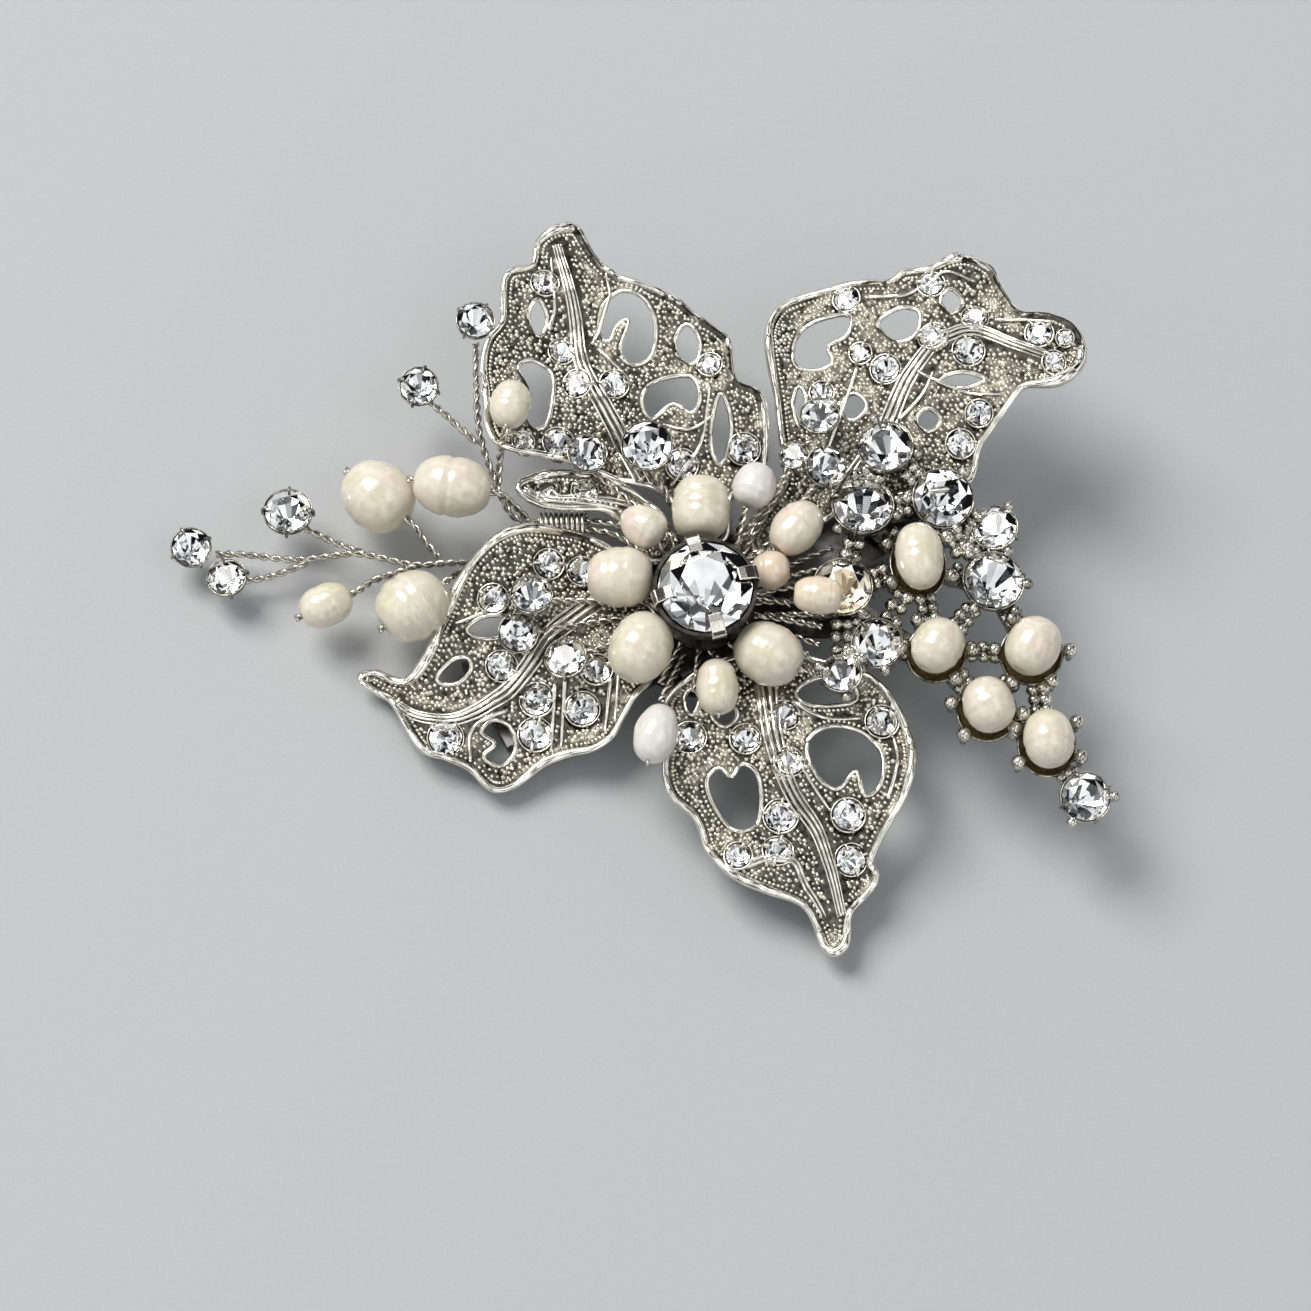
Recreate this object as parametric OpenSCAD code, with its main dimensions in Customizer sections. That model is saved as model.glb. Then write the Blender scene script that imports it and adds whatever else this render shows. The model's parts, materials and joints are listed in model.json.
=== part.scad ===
// Bridal hair pin: five cast openwork leaves on a back plate, a large stone in the middle with
// freshwater pearls wired round it, two wired sprays, a cluster of pearls and stones, and a
// sprung clip underneath. X runs across the pin, Y from its lower tip to its upper tip, Z up.
// The pin lies on its back, with the clip's lower jaw flat on Z = 0 and so leaning a little.

/* [Back plate] */
// Height of the back plate's upper face over the clip, as the pin is drawn
plate_top = 10.2; // [9.8:0.1:11]
// Thickness of the back plate and of the clip's strips
sheet_t = 0.8; // [0.6:0.05:0.8]
// Radius of the back plate's disc
plate_r = 8.8; // [8:0.1:9.5]

/* [Leaves] */
// Thickness of the cast leaves
leaf_t = 1.1; // [0.9:0.05:1.3]
// Spacing of the points that a leaf's surface is worked out at
leaf_grid = 2.2; // [1.6:0.1:3]

/* [Middle] */
// Place of the large stone, across and along the pin
middle = [6.4, -2.3];
// Diameter of the large stone
middle_d = 9.6; // [9:0.1:10]
// Height of the large stone's girdle
middle_z = 18.2; // [18:0.1:19]

/* [Wire] */
// Diameter of the craft wire
wire_d = 0.34; // [0.3:0.01:0.38]
// Length of one full twist of a wire pair
twist_pitch = 2.6; // [2:0.1:4]
// Bore through each pearl on a spray
pearl_bore = 0.95; // [0.9:0.05:1.2]

/* [Clip] */
// Slope between the clip's jaws, which the whole pin leans at when it lies on its clip
jaw_slope = 9.5; // [8:0.5:11]
// Direction of the clip, from its tip to its lever
clip_turn = 28; // [26:1:30]
// How far the clip lies to one side of the large stone
clip_shift = 2; // [1:0.1:3]
// Width of the clip's strips
clip_w = 10; // [9:0.1:11]
// Length of the jaws in front of the middle
jaw_front = 24; // [22:1:26]
// Length of the lever behind the middle
jaw_rear = 24; // [22:1:26]
// Diameter of the clip's hinge pin
pin_d = 1.5; // [1.2:0.1:1.6]
// Gap round the pin in the lower jaw
pin_gap = 0.05; // [0.03:0.01:0.08]

/* [Hidden] */
$fn = 48;
eps = 0.01;

silver = [0.62, 0.61, 0.57];
steel = [0.45, 0.45, 0.46];
crystal = [0.9, 0.93, 0.96];
pearl_white = [0.93, 0.9, 0.84];
pearl_cream = [0.92, 0.85, 0.72];
pearl_rose = [0.93, 0.8, 0.7];

// ---------------------------------------------------------------- pose
// The pin is drawn with its back plate level, and lying() then lays it on its clip's lower jaw.
jaw_top = plate_top - sheet_t;
jaw_under = jaw_top - sheet_t;
jaw_gap = 0.25;
jaw_tip_z = jaw_under - jaw_gap - sheet_t;
lie_z = jaw_front * sin(jaw_slope) - jaw_tip_z * cos(jaw_slope);
// Moves the lying pin's outline over the origin
recentre = [1.9, 0.6];
module lying() {
    translate([middle.x + recentre.x, middle.y + recentre.y, lie_z])
        rotate(a = -jaw_slope, v = [-sin(clip_turn), cos(clip_turn), 0])
        translate([-middle.x, -middle.y, 0]) children();
}

// ---------------------------------------------------------------- leaves
// A leaf is [outline, holes, root, tip, tip rise, rise power, bow, cup, lean, ripple, waves].
// Root and tip are where its midrib starts and ends; the rest shape its surface.
OUTLINE = 0;
HOLES = 1;
ROOT = 2;
TIP = 3;
RISE = 4;
POWER = 5;
BOW = 6;
CUP = 7;
LEAN = 8;
RIPPLE = 9;
WAVES = 10;

top_left = [
    [[-8, 37], [-10.5, 35.5], [-11, 33], [-13.5, 32], [-14, 29.5], [-14, 27], [-15.5, 24.5],
     [-16, 21.5], [-15.5, 17.5], [-15.5, 15.5], [-14, 13], [-8, 12.6], [-2, 11], [3, 9.3],
     [5, 5], [8.5, 5], [9, 9.5], [12.2, 12], [12.6, 16.5], [12, 20], [9.5, 21], [9, 24.5],
     [8.5, 26], [5.5, 28], [3, 30], [-2.5, 32], [-5, 34.5], [-6.5, 37]],
    [[[-10.5, 29.5], [-9.5, 27.5], [-10.5, 25.5], [-11.5, 27.5]],
     [[-4, 29], [-2, 30.5], [0.5, 29.5], [1.5, 27], [1, 24], [-1, 23], [-2.2, 24.3],
      [-1.2, 27.6], [-2.4, 27.2], [-3.2, 25.3], [-4.2, 26.2]],
     [[4.7, 27.3], [6, 25.5], [5.5, 23.2], [3.8, 24], [3.5, 26]],
     [[0, 19.5], [1.5, 21.5], [5, 22], [6, 19.5], [5, 18], [3.2, 19.3], [1, 17.5]],
     [[-12.5, 22], [-11, 23], [-9, 21.7], [-9, 18.5], [-9.6, 16], [-11, 15.5], [-12, 17.5],
      [-11.3, 19.5]],
     [[8, 20], [9.2, 16.5], [8, 13], [7, 15.5]]],
    [7, 8], [-8, 37], 4.6, 1.2, 0.5, 0.012, 0, 0.7, 2.6
];
top_right = [
    [[13.2, 24], [13, 27.5], [14.3, 30.3], [17.5, 31.6], [22, 32.3], [25.5, 32], [26.8, 33],
     [29.5, 33.2], [32.5, 34], [35.5, 33], [36.7, 30.5], [38.5, 28], [41, 27.6], [43.5, 26.6],
     [44.6, 25], [44.3, 22.5], [42.5, 20.7], [40.5, 20.2], [38.5, 20], [37, 18], [35.5, 16],
     [34, 14], [33.2, 10.8], [30, 10], [24, 9], [18, 7], [13, 3], [11, 5.5], [14.6, 11],
     [14.2, 16.5], [13.8, 20.5]],
    [[[15.5, 24], [16, 27.3], [18, 28.8], [21.3, 28.8], [21, 26.5], [19, 25.6], [19.6, 23.8],
      [17.5, 23]],
     [[24, 27.5], [26.3, 29], [28.3, 28.5], [28, 26.2], [26, 25.5]],
     [[31.5, 31], [32.8, 29.5], [31.5, 28.2], [30.4, 29.5]],
     [[16, 21.5], [16.8, 20], [16.2, 17], [15.4, 19.5]],
     [[21.5, 20.5], [23, 19], [21.5, 17.5], [20, 19]],
     [[29, 18.3], [30.4, 17], [29, 15.7], [27.8, 17]],
     [[30, 21], [32.5, 21.8], [35, 21], [32.5, 20.2]]],
    [16, 10], [44, 25], 5.2, 1.3, 0.8, -0.008, 0.05, 0.8, 2.2
];
left = [
    [[-28.2, -10], [-26.7, -9], [-24.7, -9.8], [-23, -9.8], [-21, -7.5], [-19.6, -4],
     [-18.5, -1.5], [-17, 1], [-14.5, 3.2], [-11.5, 4.6], [-8, 5], [-5, 4.6], [-3, 3.6],
     [-1.5, 1], [1.5, -3], [2, -7], [1, -9.8], [-0.7, -11.8], [-2, -14.2], [-3, -15.9],
     [-5, -17], [-7, -17.1], [-9.7, -18], [-12.4, -20.3], [-14.2, -21], [-15.5, -20.5],
     [-17, -19], [-19.5, -18], [-21.7, -17.3], [-23.5, -14.5], [-25.2, -11.7]],
    [[[-20.5, -10], [-19.1, -8.4], [-17.3, -8], [-17, -9.3], [-18.5, -10.5]],
     [[-17.5, -5.4], [-16.2, -4.1], [-13.6, -3.9], [-13.4, -5.4], [-15.5, -6.1]],
     [[-16, -15.3], [-14.8, -14], [-13, -14.6], [-12.6, -17], [-14.3, -18.6], [-15.8, -17.7],
      [-14.5, -16.4]]],
    [0, -5], [-28.2, -10], -0.95, 2, 2, 0, -0.25, 0.5, 2
];
bottom = [
    [[2.4, -12], [3, -15.5], [2.5, -18], [2.5, -20], [3.2, -22], [5, -23.4], [6, -25],
     [6.6, -27], [8.3, -29.2], [10, -30.3], [13, -31.4], [16, -32.5], [17.5, -34.3],
     [18.3, -36.3], [19.4, -36.9], [20.4, -35.7], [20.7, -33], [22.8, -30.7], [23.4, -29.4],
     [22.8, -28], [24, -25.4], [26, -22], [27, -18.5], [26.8, -15.5], [25.3, -12],
     [23, -9.3], [18, -8], [13, -6.5], [9, -7.5], [5, -9.5]],
    [[[6.5, -20.5], [7.8, -19], [9, -20.2], [10, -18.7], [11.5, -19.6], [12, -22],
      [11.5, -24.7], [9.5, -25.4], [7.6, -23.4]],
     [[7, -13.5], [8.5, -12.3], [9.7, -13.5], [8.5, -14.8]],
     [[5, -10.6], [5.9, -11.8], [5, -13.6], [4.3, -11.8]],
     [[16.5, -16.5], [19, -14.6], [22, -15], [24, -17], [24, -20.3], [22.2, -21.8],
      [21.4, -19.2], [19.6, -21.3], [17.5, -20]],
     [[15.5, -11], [18, -9.6], [21, -9.9], [21.6, -11.7], [19, -12.5], [16.5, -12.5]]],
    [11, -9.5], [19.4, -36.9], -5.7, 2.4, 1.2, -0.012, 0, 0.5, 2.4
];
small = [
    [[-12.5, 9.8], [-10, 11.5], [-5.5, 11.4], [-1.5, 10], [2, 7.5], [3.5, 4], [1, 2.5],
     [-0.5, 5], [-3, 7.4], [-6.5, 7.6], [-10, 7.9]],
    [],
    [2, 4], [-12.5, 9.8], 1.4, 1, 1, 0.02, 0, 0, 0
];

// Corner i of a list that closes on itself
function around(list, i) = list[(i + len(list)) % len(list)];
// A point of the smooth curve through b and c, between a and d
function bend(a, b, c, d, t) =
    0.5 * (2 * b + (c - a) * t + (2 * a - 5 * b + 4 * c - d) * t * t
    + (3 * b - a - 3 * c + d) * t * t * t);
// A closed outline rounded through its points, with steps points to each side
function rounded(points, steps) = [
    for (i = [0 : len(points) - 1], k = [0 : steps - 1])
    bend(around(points, i - 1), points[i], around(points, i + 1), around(points, i + 2), k / steps)
];

// Share of the way along the midrib, and distance to its left
function along(leaf, p) =
    let (rib = leaf[TIP] - leaf[ROOT]) max(0, (p - leaf[ROOT]) * rib / (rib * rib));
function aside(leaf, p) =
    let (rib = leaf[TIP] - leaf[ROOT]) cross(rib, p - leaf[ROOT]) / norm(rib);
// Height of the middle of a leaf's thickness over the point p
function leaf_z(leaf, p) =
    let (s = along(leaf, p), w = aside(leaf, p), hump = 4 * s * max(0, 1 - s), ease = min(1, 4 * s))
    plate_top + leaf_t / 2
    + leaf[RISE] * pow(s, leaf[POWER]) + leaf[BOW] * hump
    + ease * (leaf[CUP] * w * w + leaf[LEAN] * w * hump
    + leaf[RIPPLE] * hump * sin(360 * leaf[WAVES] * s) * sign(w) * min(1, abs(w) / 5));
// Direction that a leaf faces at p
function leaf_normal(leaf, p) =
    let (d = 0.4,
        gx = (leaf_z(leaf, p + [d, 0]) - leaf_z(leaf, p - [d, 0])) / (2 * d),
        gy = (leaf_z(leaf, p + [0, d]) - leaf_z(leaf, p - [0, d])) / (2 * d))
    [-gx, -gy, 1] / norm([gx, gy, 1]);

// The curved slab that a leaf is cut from
module leaf_slab(leaf) {
    xs = [for (p = leaf[OUTLINE]) p.x];
    ys = [for (p = leaf[OUTLINE]) p.y];
    low = [min(xs) - 1, min(ys) - 1];
    cells = [
        ceil((max(xs) + 1 - low.x) / leaf_grid),
        ceil((max(ys) + 1 - low.y) / leaf_grid)
    ];
    columns = cells.x + 1;
    layer = columns * (cells.y + 1);
    points = [
        for (side = [-0.5, 0.5], j = [0 : cells.y], i = [0 : cells.x])
        let (p = low + leaf_grid * [i, j]) [p.x, p.y, leaf_z(leaf, p) + side * leaf_t]
    ];
    function at(i, j) = i + columns * j;
    faces = concat(
        [for (j = [0 : cells.y - 1], i = [0 : cells.x - 1], half = [0, 1])
            half == 0 ? [at(i, j), at(i + 1, j), at(i + 1, j + 1)]
                : [at(i, j), at(i + 1, j + 1), at(i, j + 1)]],
        [for (j = [0 : cells.y - 1], i = [0 : cells.x - 1], half = [0, 1])
            [for (corner = half == 0 ? [at(i, j), at(i + 1, j + 1), at(i + 1, j)]
                : [at(i, j), at(i, j + 1), at(i + 1, j + 1)]) corner + layer]],
        [for (i = [0 : cells.x - 1]) [at(i, 0), at(i, 0) + layer, at(i + 1, 0) + layer, at(i + 1, 0)]],
        [for (i = [0 : cells.x - 1], j = [cells.y])
            [at(i + 1, j), at(i + 1, j) + layer, at(i, j) + layer, at(i, j)]],
        [for (j = [0 : cells.y - 1]) [at(0, j + 1), at(0, j + 1) + layer, at(0, j) + layer, at(0, j)]],
        [for (j = [0 : cells.y - 1], i = [cells.x])
            [at(i, j), at(i, j) + layer, at(i, j + 1) + layer, at(i, j + 1)]]
    );
    polyhedron(points, faces);
}

module leaf_plan(leaf) {
    difference() {
        polygon(rounded(leaf[OUTLINE], 3));
        for (hole = leaf[HOLES]) polygon(rounded(hole, 3));
    }
}

module cast_leaf(leaf) {
    color(silver)
    lying()
    intersection() {
        leaf_slab(leaf);
        translate([0, 0, -5]) linear_extrude(40) leaf_plan(leaf);
    }
}

// ---------------------------------------------------------------- stones
// Stones on each leaf: place and diameter
top_left_stones = [
    [-10, 31.2, 2.6], [-8.2, 24.3, 2.5], [-6.5, 20.5, 2.7], [-3, 20.8, 2.7], [7.2, 22.8, 2.2],
    [-8.8, 14.4, 2.9], [4, 13, 3], [10.4, 14.8, 3], [-12.3, 13.9, 2]
];
top_right_stones = [
    [21.5, 30.7, 2.5], [29.5, 31.2, 2.5], [29.6, 25.4, 2.7], [34, 27.6, 2.5], [25.3, 22.8, 2.8],
    [22.7, 24.6, 2], [33.1, 24, 3], [40.5, 25.6, 2.6], [43, 25.2, 1.5], [41.8, 22.6, 2.2],
    [34.3, 17.7, 2.5], [32.2, 14.8, 2.7], [18.4, 20.4, 2.2]
];
left_stones = [
    [-14.6, -2, 2.8], [-9.7, 1.6, 2.8], [-6.4, 1.2, 2.8], [-14, -8.5, 2.9], [-4.5, -9, 2.9],
    [-10.5, -11.5, 3.2], [-5.6, -12.6, 3.2], [-19.3, -15.6, 3.3], [-10.7, -15, 3.2]
];
bottom_stones = [
    [5, -15.8, 3], [10.5, -16.2, 2.8], [14.3, -13.6, 2.8], [23.8, -13.8, 3.1],
    [14.6, -18.6, 2.8], [20.4, -23.4, 3.1], [14, -23.6, 3.2], [13.6, -27.3, 2.8], [20.6, -27.4, 3],
    [9.8, -28, 2.5]
];
small_stones = [[-9.5, 9.6, 2.6], [-5.7, 9.6, 2.4]];

// A round cut stone of diameter d, its girdle at Z = 0 and its point down
module stone(d) {
    rotate_extrude()
    polygon([[0, -0.42 * d], [0.5 * d, -0.03 * d], [0.5 * d, 0.03 * d], [0.3 * d, 0.2 * d], [0, 0.2 * d]]);
}

// Turns Z to the direction n
module facing(n) {
    rotate([0, acos(n.z / norm(n)), atan2(n.y, n.x)]) children();
}

module leaf_stones(leaf, stones) {
    color(crystal)
    lying()
    for (s = stones) {
        p = [s.x, s.y];
        n = leaf_normal(leaf, p);
        lift = leaf_t / 2 + 0.18 * s.z;
        translate([s.x, s.y, leaf_z(leaf, p)] + lift * n) facing(n) stone(s.z);
    }
}

// A cup for a stone of diameter d, open to the girdle at Z = 0, with four claws
module cup(d) {
    wall = 0.35;
    gap = 0.05;
    rotate_extrude()
    polygon([
        [0, -0.42 * d - 0.6], [0.22 * d, -0.42 * d - 0.6], [0.5 * d + wall, -0.06 * d],
        [0.5 * d + wall, 0.06 * d], [0.5 * d + gap, 0.06 * d], [0.5 * d + gap, -0.03 * d - gap],
        [0, -0.42 * d - gap]
    ]);
    for (turn = [45 : 90 : 315])
        rotate([0, 0, turn]) translate([0.5 * d + 0.3, 0, 0]) cylinder(r = 0.22, h = 0.13 * d + 0.2);
}

// ---------------------------------------------------------------- pearls
// A pearl: [place, length, width, direction round Z, slope, how square its ends are]
function pearl_outline(l, w, square) = [
    for (i = [0 : 12]) let (a = -90 + 15 * i)
    [i % 12 == 0 ? 0 : w / 2 * pow(cos(a), square), l / 2 * sin(a)]
];
module pearl(at, l, w, turn, slope = 0, square = 0.9, bore = 0) {
    translate(at) rotate([0, 90 - slope, turn])
    if (bore > 0) {
        difference() {
            rotate_extrude() polygon(pearl_outline(l, w, square));
            cylinder(d = bore, h = l + 1, center = true);
        }
    } else {
        rotate_extrude() polygon(pearl_outline(l, w, square));
    }
}

// Pearls round the large stone
north = [[6, 7.3, 14.8], 6.4, 6, 90];
bud = [[11.4, 9.4, 15.6], 4.7, 4.4, 70];
north_east = [[15.6, 5.2, 14.6], 6.2, 4.8, 48];
round_one = [[13, 0.7, 14.7], 4, 4, 0];
peach = [[17.6, -2.9, 17.5], 5, 3.9, -5];
south_east = [[12.7, -8, 14.4], 7.2, 6.3, -30];
south = [[7.6, -11.6, 14.8], 5.7, 4.3, 92];
drop = [[1.5, -16.4, 14.6], 6.2, 4.4, 75];
south_west = [[0, -7.8, 15.8], 7.4, 6.4, 65];
west = [[-2.1, -0.4, 15.8], 6.9, 6.2, 2];
teardrop = [[0.2, 4.8, 16.6], 4.9, 4.2, 150];

module wired_pearl(p, tint, square = 0.9) {
    color(tint) lying() pearl(p[0], p[1], p[2], p[3], 0, square);
}

// Pearls of the sprays: four on the left one and one on the top one
spray_pearls = [
    [[-26.5, 8.8, 14], 7.9, 7.2, -40],
    [[-18.9, 9, 16.4], 8.3, 6.3, -10],
    [[-22.8, -3.1, 14.8], 7.6, 7.1, 38],
    [[-31.5, -3, 14.6], 5.7, 4.5, 25],
    [[-13.1, 16.7, 19.2], 5.2, 4.2, 80]
];
module spray_pearl(i) {
    p = spray_pearls[i];
    color(pearl_cream) lying() pearl(p[0], p[1], p[2], p[3], 0, 0.9, pearl_bore);
}

// ---------------------------------------------------------------- wired crystals
// Crystals at the spray ends: place and diameter
spray_crystal_rows = [
    [[-35.5, 7, 14.6], 4.7], [[-45.1, 3, 15], 3.8], [[-41.5, 0, 14.6], 3.8],
    [[-16.8, 27.2, 15.6], 3.7], [[-22.5, 20.2, 15.2], 3.8]
];
// Crystals wired over the leaves, and one large one
accent_rows = [
    [[-10.9, -2.7, 17.2], 4], [[-12.2, -6.2, 15.6], 3.8], [[-7.5, -8.8, 15.6], 4],
    [[-5.4, 12.8, 15.8], 3.8], [[0.6, 13.3, 16.6], 5], [[18, 16.6, 16.4], 3.8],
    [[18.6, 11, 16.8], 3.9], [[15.4, 12.8, 15.2], 2.8]
];
// A small lean that differs from one crystal to the next
function sway(i) = [0.14 * sin(137 * i), 0.14 * cos(211 * i), 1];

module crystals(rows) {
    color(crystal)
    lying()
    for (i = [0 : len(rows) - 1]) translate(rows[i][0]) facing(sway(i)) stone(rows[i][1]);
}
module cups(rows) {
    color(steel)
    lying()
    for (i = [0 : len(rows) - 1]) translate(rows[i][0]) facing(sway(i)) cup(rows[i][1]);
}

// ---------------------------------------------------------------- wire
// An open smooth curve through a route, with a point about every step
function smooth(route, step) = [
    for (i = [0 : len(route) - 2])
    let (
        b = route[i],
        c = route[i + 1],
        a = i == 0 ? 2 * b - c : route[i - 1],
        d = i == len(route) - 2 ? 2 * c - b : route[i + 2],
        n = max(1, round(norm(c - b) / step))
    )
    for (k = [0 : n - (i == len(route) - 2 ? 0 : 1)]) bend(a, b, c, d, k / n)
];
function unit(v) = v / norm(v);
// Two directions across a curve at point i
function across(line, i) =
    let (
        t = unit(line[min(i + 1, len(line) - 1)] - line[max(i - 1, 0)]),
        side = unit(cross(t, abs(t.z) > 0.9 ? [1, 0, 0] : [0, 0, 1]))
    )
    [side, cross(side, t)];
wire_sides = 5;
// The rings of one strand of a twisted pair along a line
function strand(line, step, half) = [
    for (i = [0 : len(line) - 1])
    let (
        axes = across(line, i),
        turn = 360 * i * step / twist_pitch + 180 * half,
        centre = line[i] + (wire_d / 2 + 0.03) * (cos(turn) * axes[0] + sin(turn) * axes[1])
    )
    [for (k = [0 : wire_sides - 1])
        centre + wire_d / 2 * (cos(360 * k / wire_sides) * axes[0] + sin(360 * k / wire_sides) * axes[1])]
];
// How many points come before tube i
function before(tubes, i) = i == 0 ? 0 : before(tubes, i - 1) + len(tubes[i - 1]) * wire_sides;
// All the tubes in one solid of several shells
module tubes(rings) {
    points = [for (tube = rings, ring = tube) each ring];
    faces = [
        for (t = [0 : len(rings) - 1])
        let (start = before(rings, t), count = len(rings[t]), n = wire_sides)
        each concat(
            [[for (k = [0 : n - 1]) start + k]],
            [[for (k = [n - 1 : -1 : 0]) start + n * (count - 1) + k]],
            [for (i = [0 : count - 2], k = [0 : n - 1], half = [0, 1])
                let (p = start + n * i, q = (k + 1) % n)
                half == 0 ? [p + k, p + n + k, p + n + q] : [p + k, p + n + q, p + q]]
        )
    ];
    polyhedron(points, faces);
}
module twisted(routes, step = 0.65) {
    color(steel)
    lying()
    tubes([
        for (route = routes, half = [0, 1])
        let (line = smooth(route, step)) strand(line, step, half)
    ]);
}

// The wire goes in at a pearl's outer end and out at the inner one. way is 1 where the inner end
// lies along the pearl's direction, and -1 where it lies against it.
function through(p, way, reach = 0.5) =
    let (d = way * (p[1] / 2 + reach) * [cos(p[3]), sin(p[3]), 0]) [p[0] - d, p[0], p[0] + d];

left_routes = [
    [[-42.8, 3.2, 12.4], [-40, 3, 12.8], [-34.5, 2.4, 13], [-28.5, 3, 13], [-23, 2, 12.6],
     [-19.5, 2.4, 11.9], [-17.5, 2.8, 11], [-15.2, 3.4, 10.5], [-13.2, 5, 10.9],
     [-11.4, 5.9, 11.9], [-8, 5.85, 12.1], [-5, 5.85, 12.1], [-2.5, 5.2, 12.3], [0.2, 3.2, 12.6]],
    [[-39.8, 0.4, 12.2], [-36.8, 0.9, 12.5], [-33.6, 2.1, 12.9]],
    [[-33.8, 5.9, 12.4], [-31, 4.5, 12.4], [-27.8, 3.1, 12.9]],
    concat(through(spray_pearls[0], 1), [[-22, 4.6, 13.2], [-20.4, 2.9, 12.2]]),
    concat(through(spray_pearls[1], 1), [[-13, 7.7, 15], [-11.6, 6.8, 13]]),
    concat(through(spray_pearls[2], 1), [[-18.4, 1, 12.8], [-16.4, 2.9, 11]]),
    concat(through(spray_pearls[3], 1), [[-26.6, 0.2, 13.2], [-22.6, 1.8, 12.6]])
];
top_routes = [
    [[-16.8, 25.4, 13.6], [-16.7, 22, 14.4], [-16.6, 18, 14.2], [-16.2, 15, 13.8],
     [-15.2, 12, 13.2], [-14, 9, 12.6], [-12.8, 7.2, 12.2], [-11, 6.75, 12.1], [-8, 6.75, 12.1],
     [-5, 6.75, 12.1], [-3, 6.4, 12.5], [-1, 5.6, 12.8]],
    [[-21.6, 19.4, 13.1], [-19.2, 17.2, 13.4], [-16.6, 14.6, 13.7]],
    concat(through(spray_pearls[4], -1), [[-14.2, 12.8, 15], [-14.4, 10.4, 13.2]])
];
binding_from = -10;
binding_turns = 9;
binding_pitch = 0.55;
module wire_binding() {
    color(steel)
    lying()
    for (i = [0 : binding_turns - 1])
        translate([binding_from + binding_pitch * i, 6.3, 12.1]) rotate([0, 90, 0])
        rotate_extrude() translate([1.18, 0]) circle(r = 0.2, $fn = 24);
}

// A wire from an end point down to the back plate beside the large stone's post
function to_post(from, turn, reach = 5.4) =
    let (foot = [middle.x + reach * cos(turn), middle.y + reach * sin(turn), plate_top + leaf_t + 0.4])
    [from, (from + foot) / 2 + [0, 0, 0.25], foot];
// The inner end of a pearl, just below its surface
function inner_end(p) =
    let (toward = middle - [p[0].x, p[0].y], d = [cos(p[3]), sin(p[3])], way = toward * d < 0 ? -1 : 1)
    p[0] + way * (p[1] / 2 + 0.1) * [d.x, d.y, 0];
middle_routes = [
    to_post(inner_end(north), 92), to_post(inner_end(bud), 62), to_post(inner_end(north_east), 38),
    to_post(inner_end(south), -78), to_post([2, -13, 14.4], -112), to_post(inner_end(teardrop), 130),
    to_post([-9.6, -2.6, 14.9], 176), to_post([-10.8, -5.6, 13.8], 188, 6),
    to_post([-6.4, -8, 13.4], 205, 7.4), to_post([-4.6, 11.4, 13.6], 112, 7.4),
    to_post([1.2, 11.6, 14.2], 104, 8.8), to_post([17.2, 14.8, 14.8], 55),
    to_post([17.6, 9.6, 15], 44), to_post([14.8, 11.4, 14], 66)
];

// ---------------------------------------------------------------- cluster
// The cluster lies on one plane, which falls away from the large stone along fall_way
cluster_from = [20, 4];
fall_way = -38;
fall = 6.5;
// How far p lies down the fall, and across it
function down_fall(p) =
    let (q = p - cluster_from) [q.x * cos(fall_way) + q.y * sin(fall_way),
        q.y * cos(fall_way) - q.x * sin(fall_way)];
// Level of the cluster's girdles and cup rims
function cluster_z(p) = 14.6 - down_fall(p).x * tan(fall);
// Pearls in cups: place, length, width and direction
cluster_pearl_rows = [
    [[27.9, 2.1], 7, 5, 96], [[29.6, -7.1], 5.8, 5.3, 60], [[39.2, -6.9], 6.2, 5.6, 60],
    [[34.6, -13], 5.8, 5.3, 110], [[40.6, -16.3], 6.1, 5.2, 95]
];
// Stones in cups: place, diameter and how far the girdle is over the cluster's plane
cluster_stone_rows = [
    [[22.3, 7.4], 6, 0.5], [[30.4, 8.4], 6, 0.6], [[35.6, 5.7], 4.5, 0], [[35.4, 0.2], 6, 0],
    [[23.6, -6.6], 4.9, 0], [[20, -9.8], 3.9, 0], [[44.3, -21.8], 4.9, 0], [[24.6, 13.4], 5.4, 1.2]
];
champagne = [[20.2, -1], 5.8];
champagne_z = 14.6;
// Which cups the frame's bars join: pearls are 0 to 4, then the stones, then the champagne one
cluster_links = [
    [0, 13], [0, 5], [0, 6], [0, 8], [0, 1], [5, 6], [6, 7], [7, 8], [8, 2], [1, 3], [1, 13], [2, 3],
    [3, 4], [2, 4], [4, 11], [1, 9], [9, 10], [5, 12], [6, 12], [5, 13]
];
cluster_places = concat(
    [for (row = cluster_pearl_rows) row[0]], [for (row = cluster_stone_rows) row[0]], [champagne[0]]
);
bar_w = 1.3;
bar_t = 1;
// Depth of the frame's upper face below the girdles
frame_drop = 2.6;
// A place on the frame's own sloping plane
function on_plane(p) = let (q = down_fall(p)) [q.x / cos(fall), q.y];

module frame_plan() {
    for (link = cluster_links) {
        a = on_plane(cluster_places[link[0]]);
        b = on_plane(cluster_places[link[1]]);
        translate(a) rotate(atan2(b.y - a.y, b.x - a.x)) translate([0, -bar_w / 2])
            square([norm(b - a), bar_w]);
    }
    for (p = cluster_places) translate(on_plane(p)) circle(r = 1.1, $fn = 24);
}
module cluster_frame() {
    color(silver)
    lying() {
        translate([cluster_from.x, cluster_from.y, cluster_z(cluster_from) - frame_drop - bar_t])
            rotate([0, 0, fall_way]) rotate([0, fall, 0]) linear_extrude(bar_t) frame_plan();
        // The post that carries the cluster on the back plate's arm
        translate([champagne[0].x - 1.8, champagne[0].y - 1.4, plate_top]) cylinder(r = 1.1, h = 1.1);
    }
}

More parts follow.
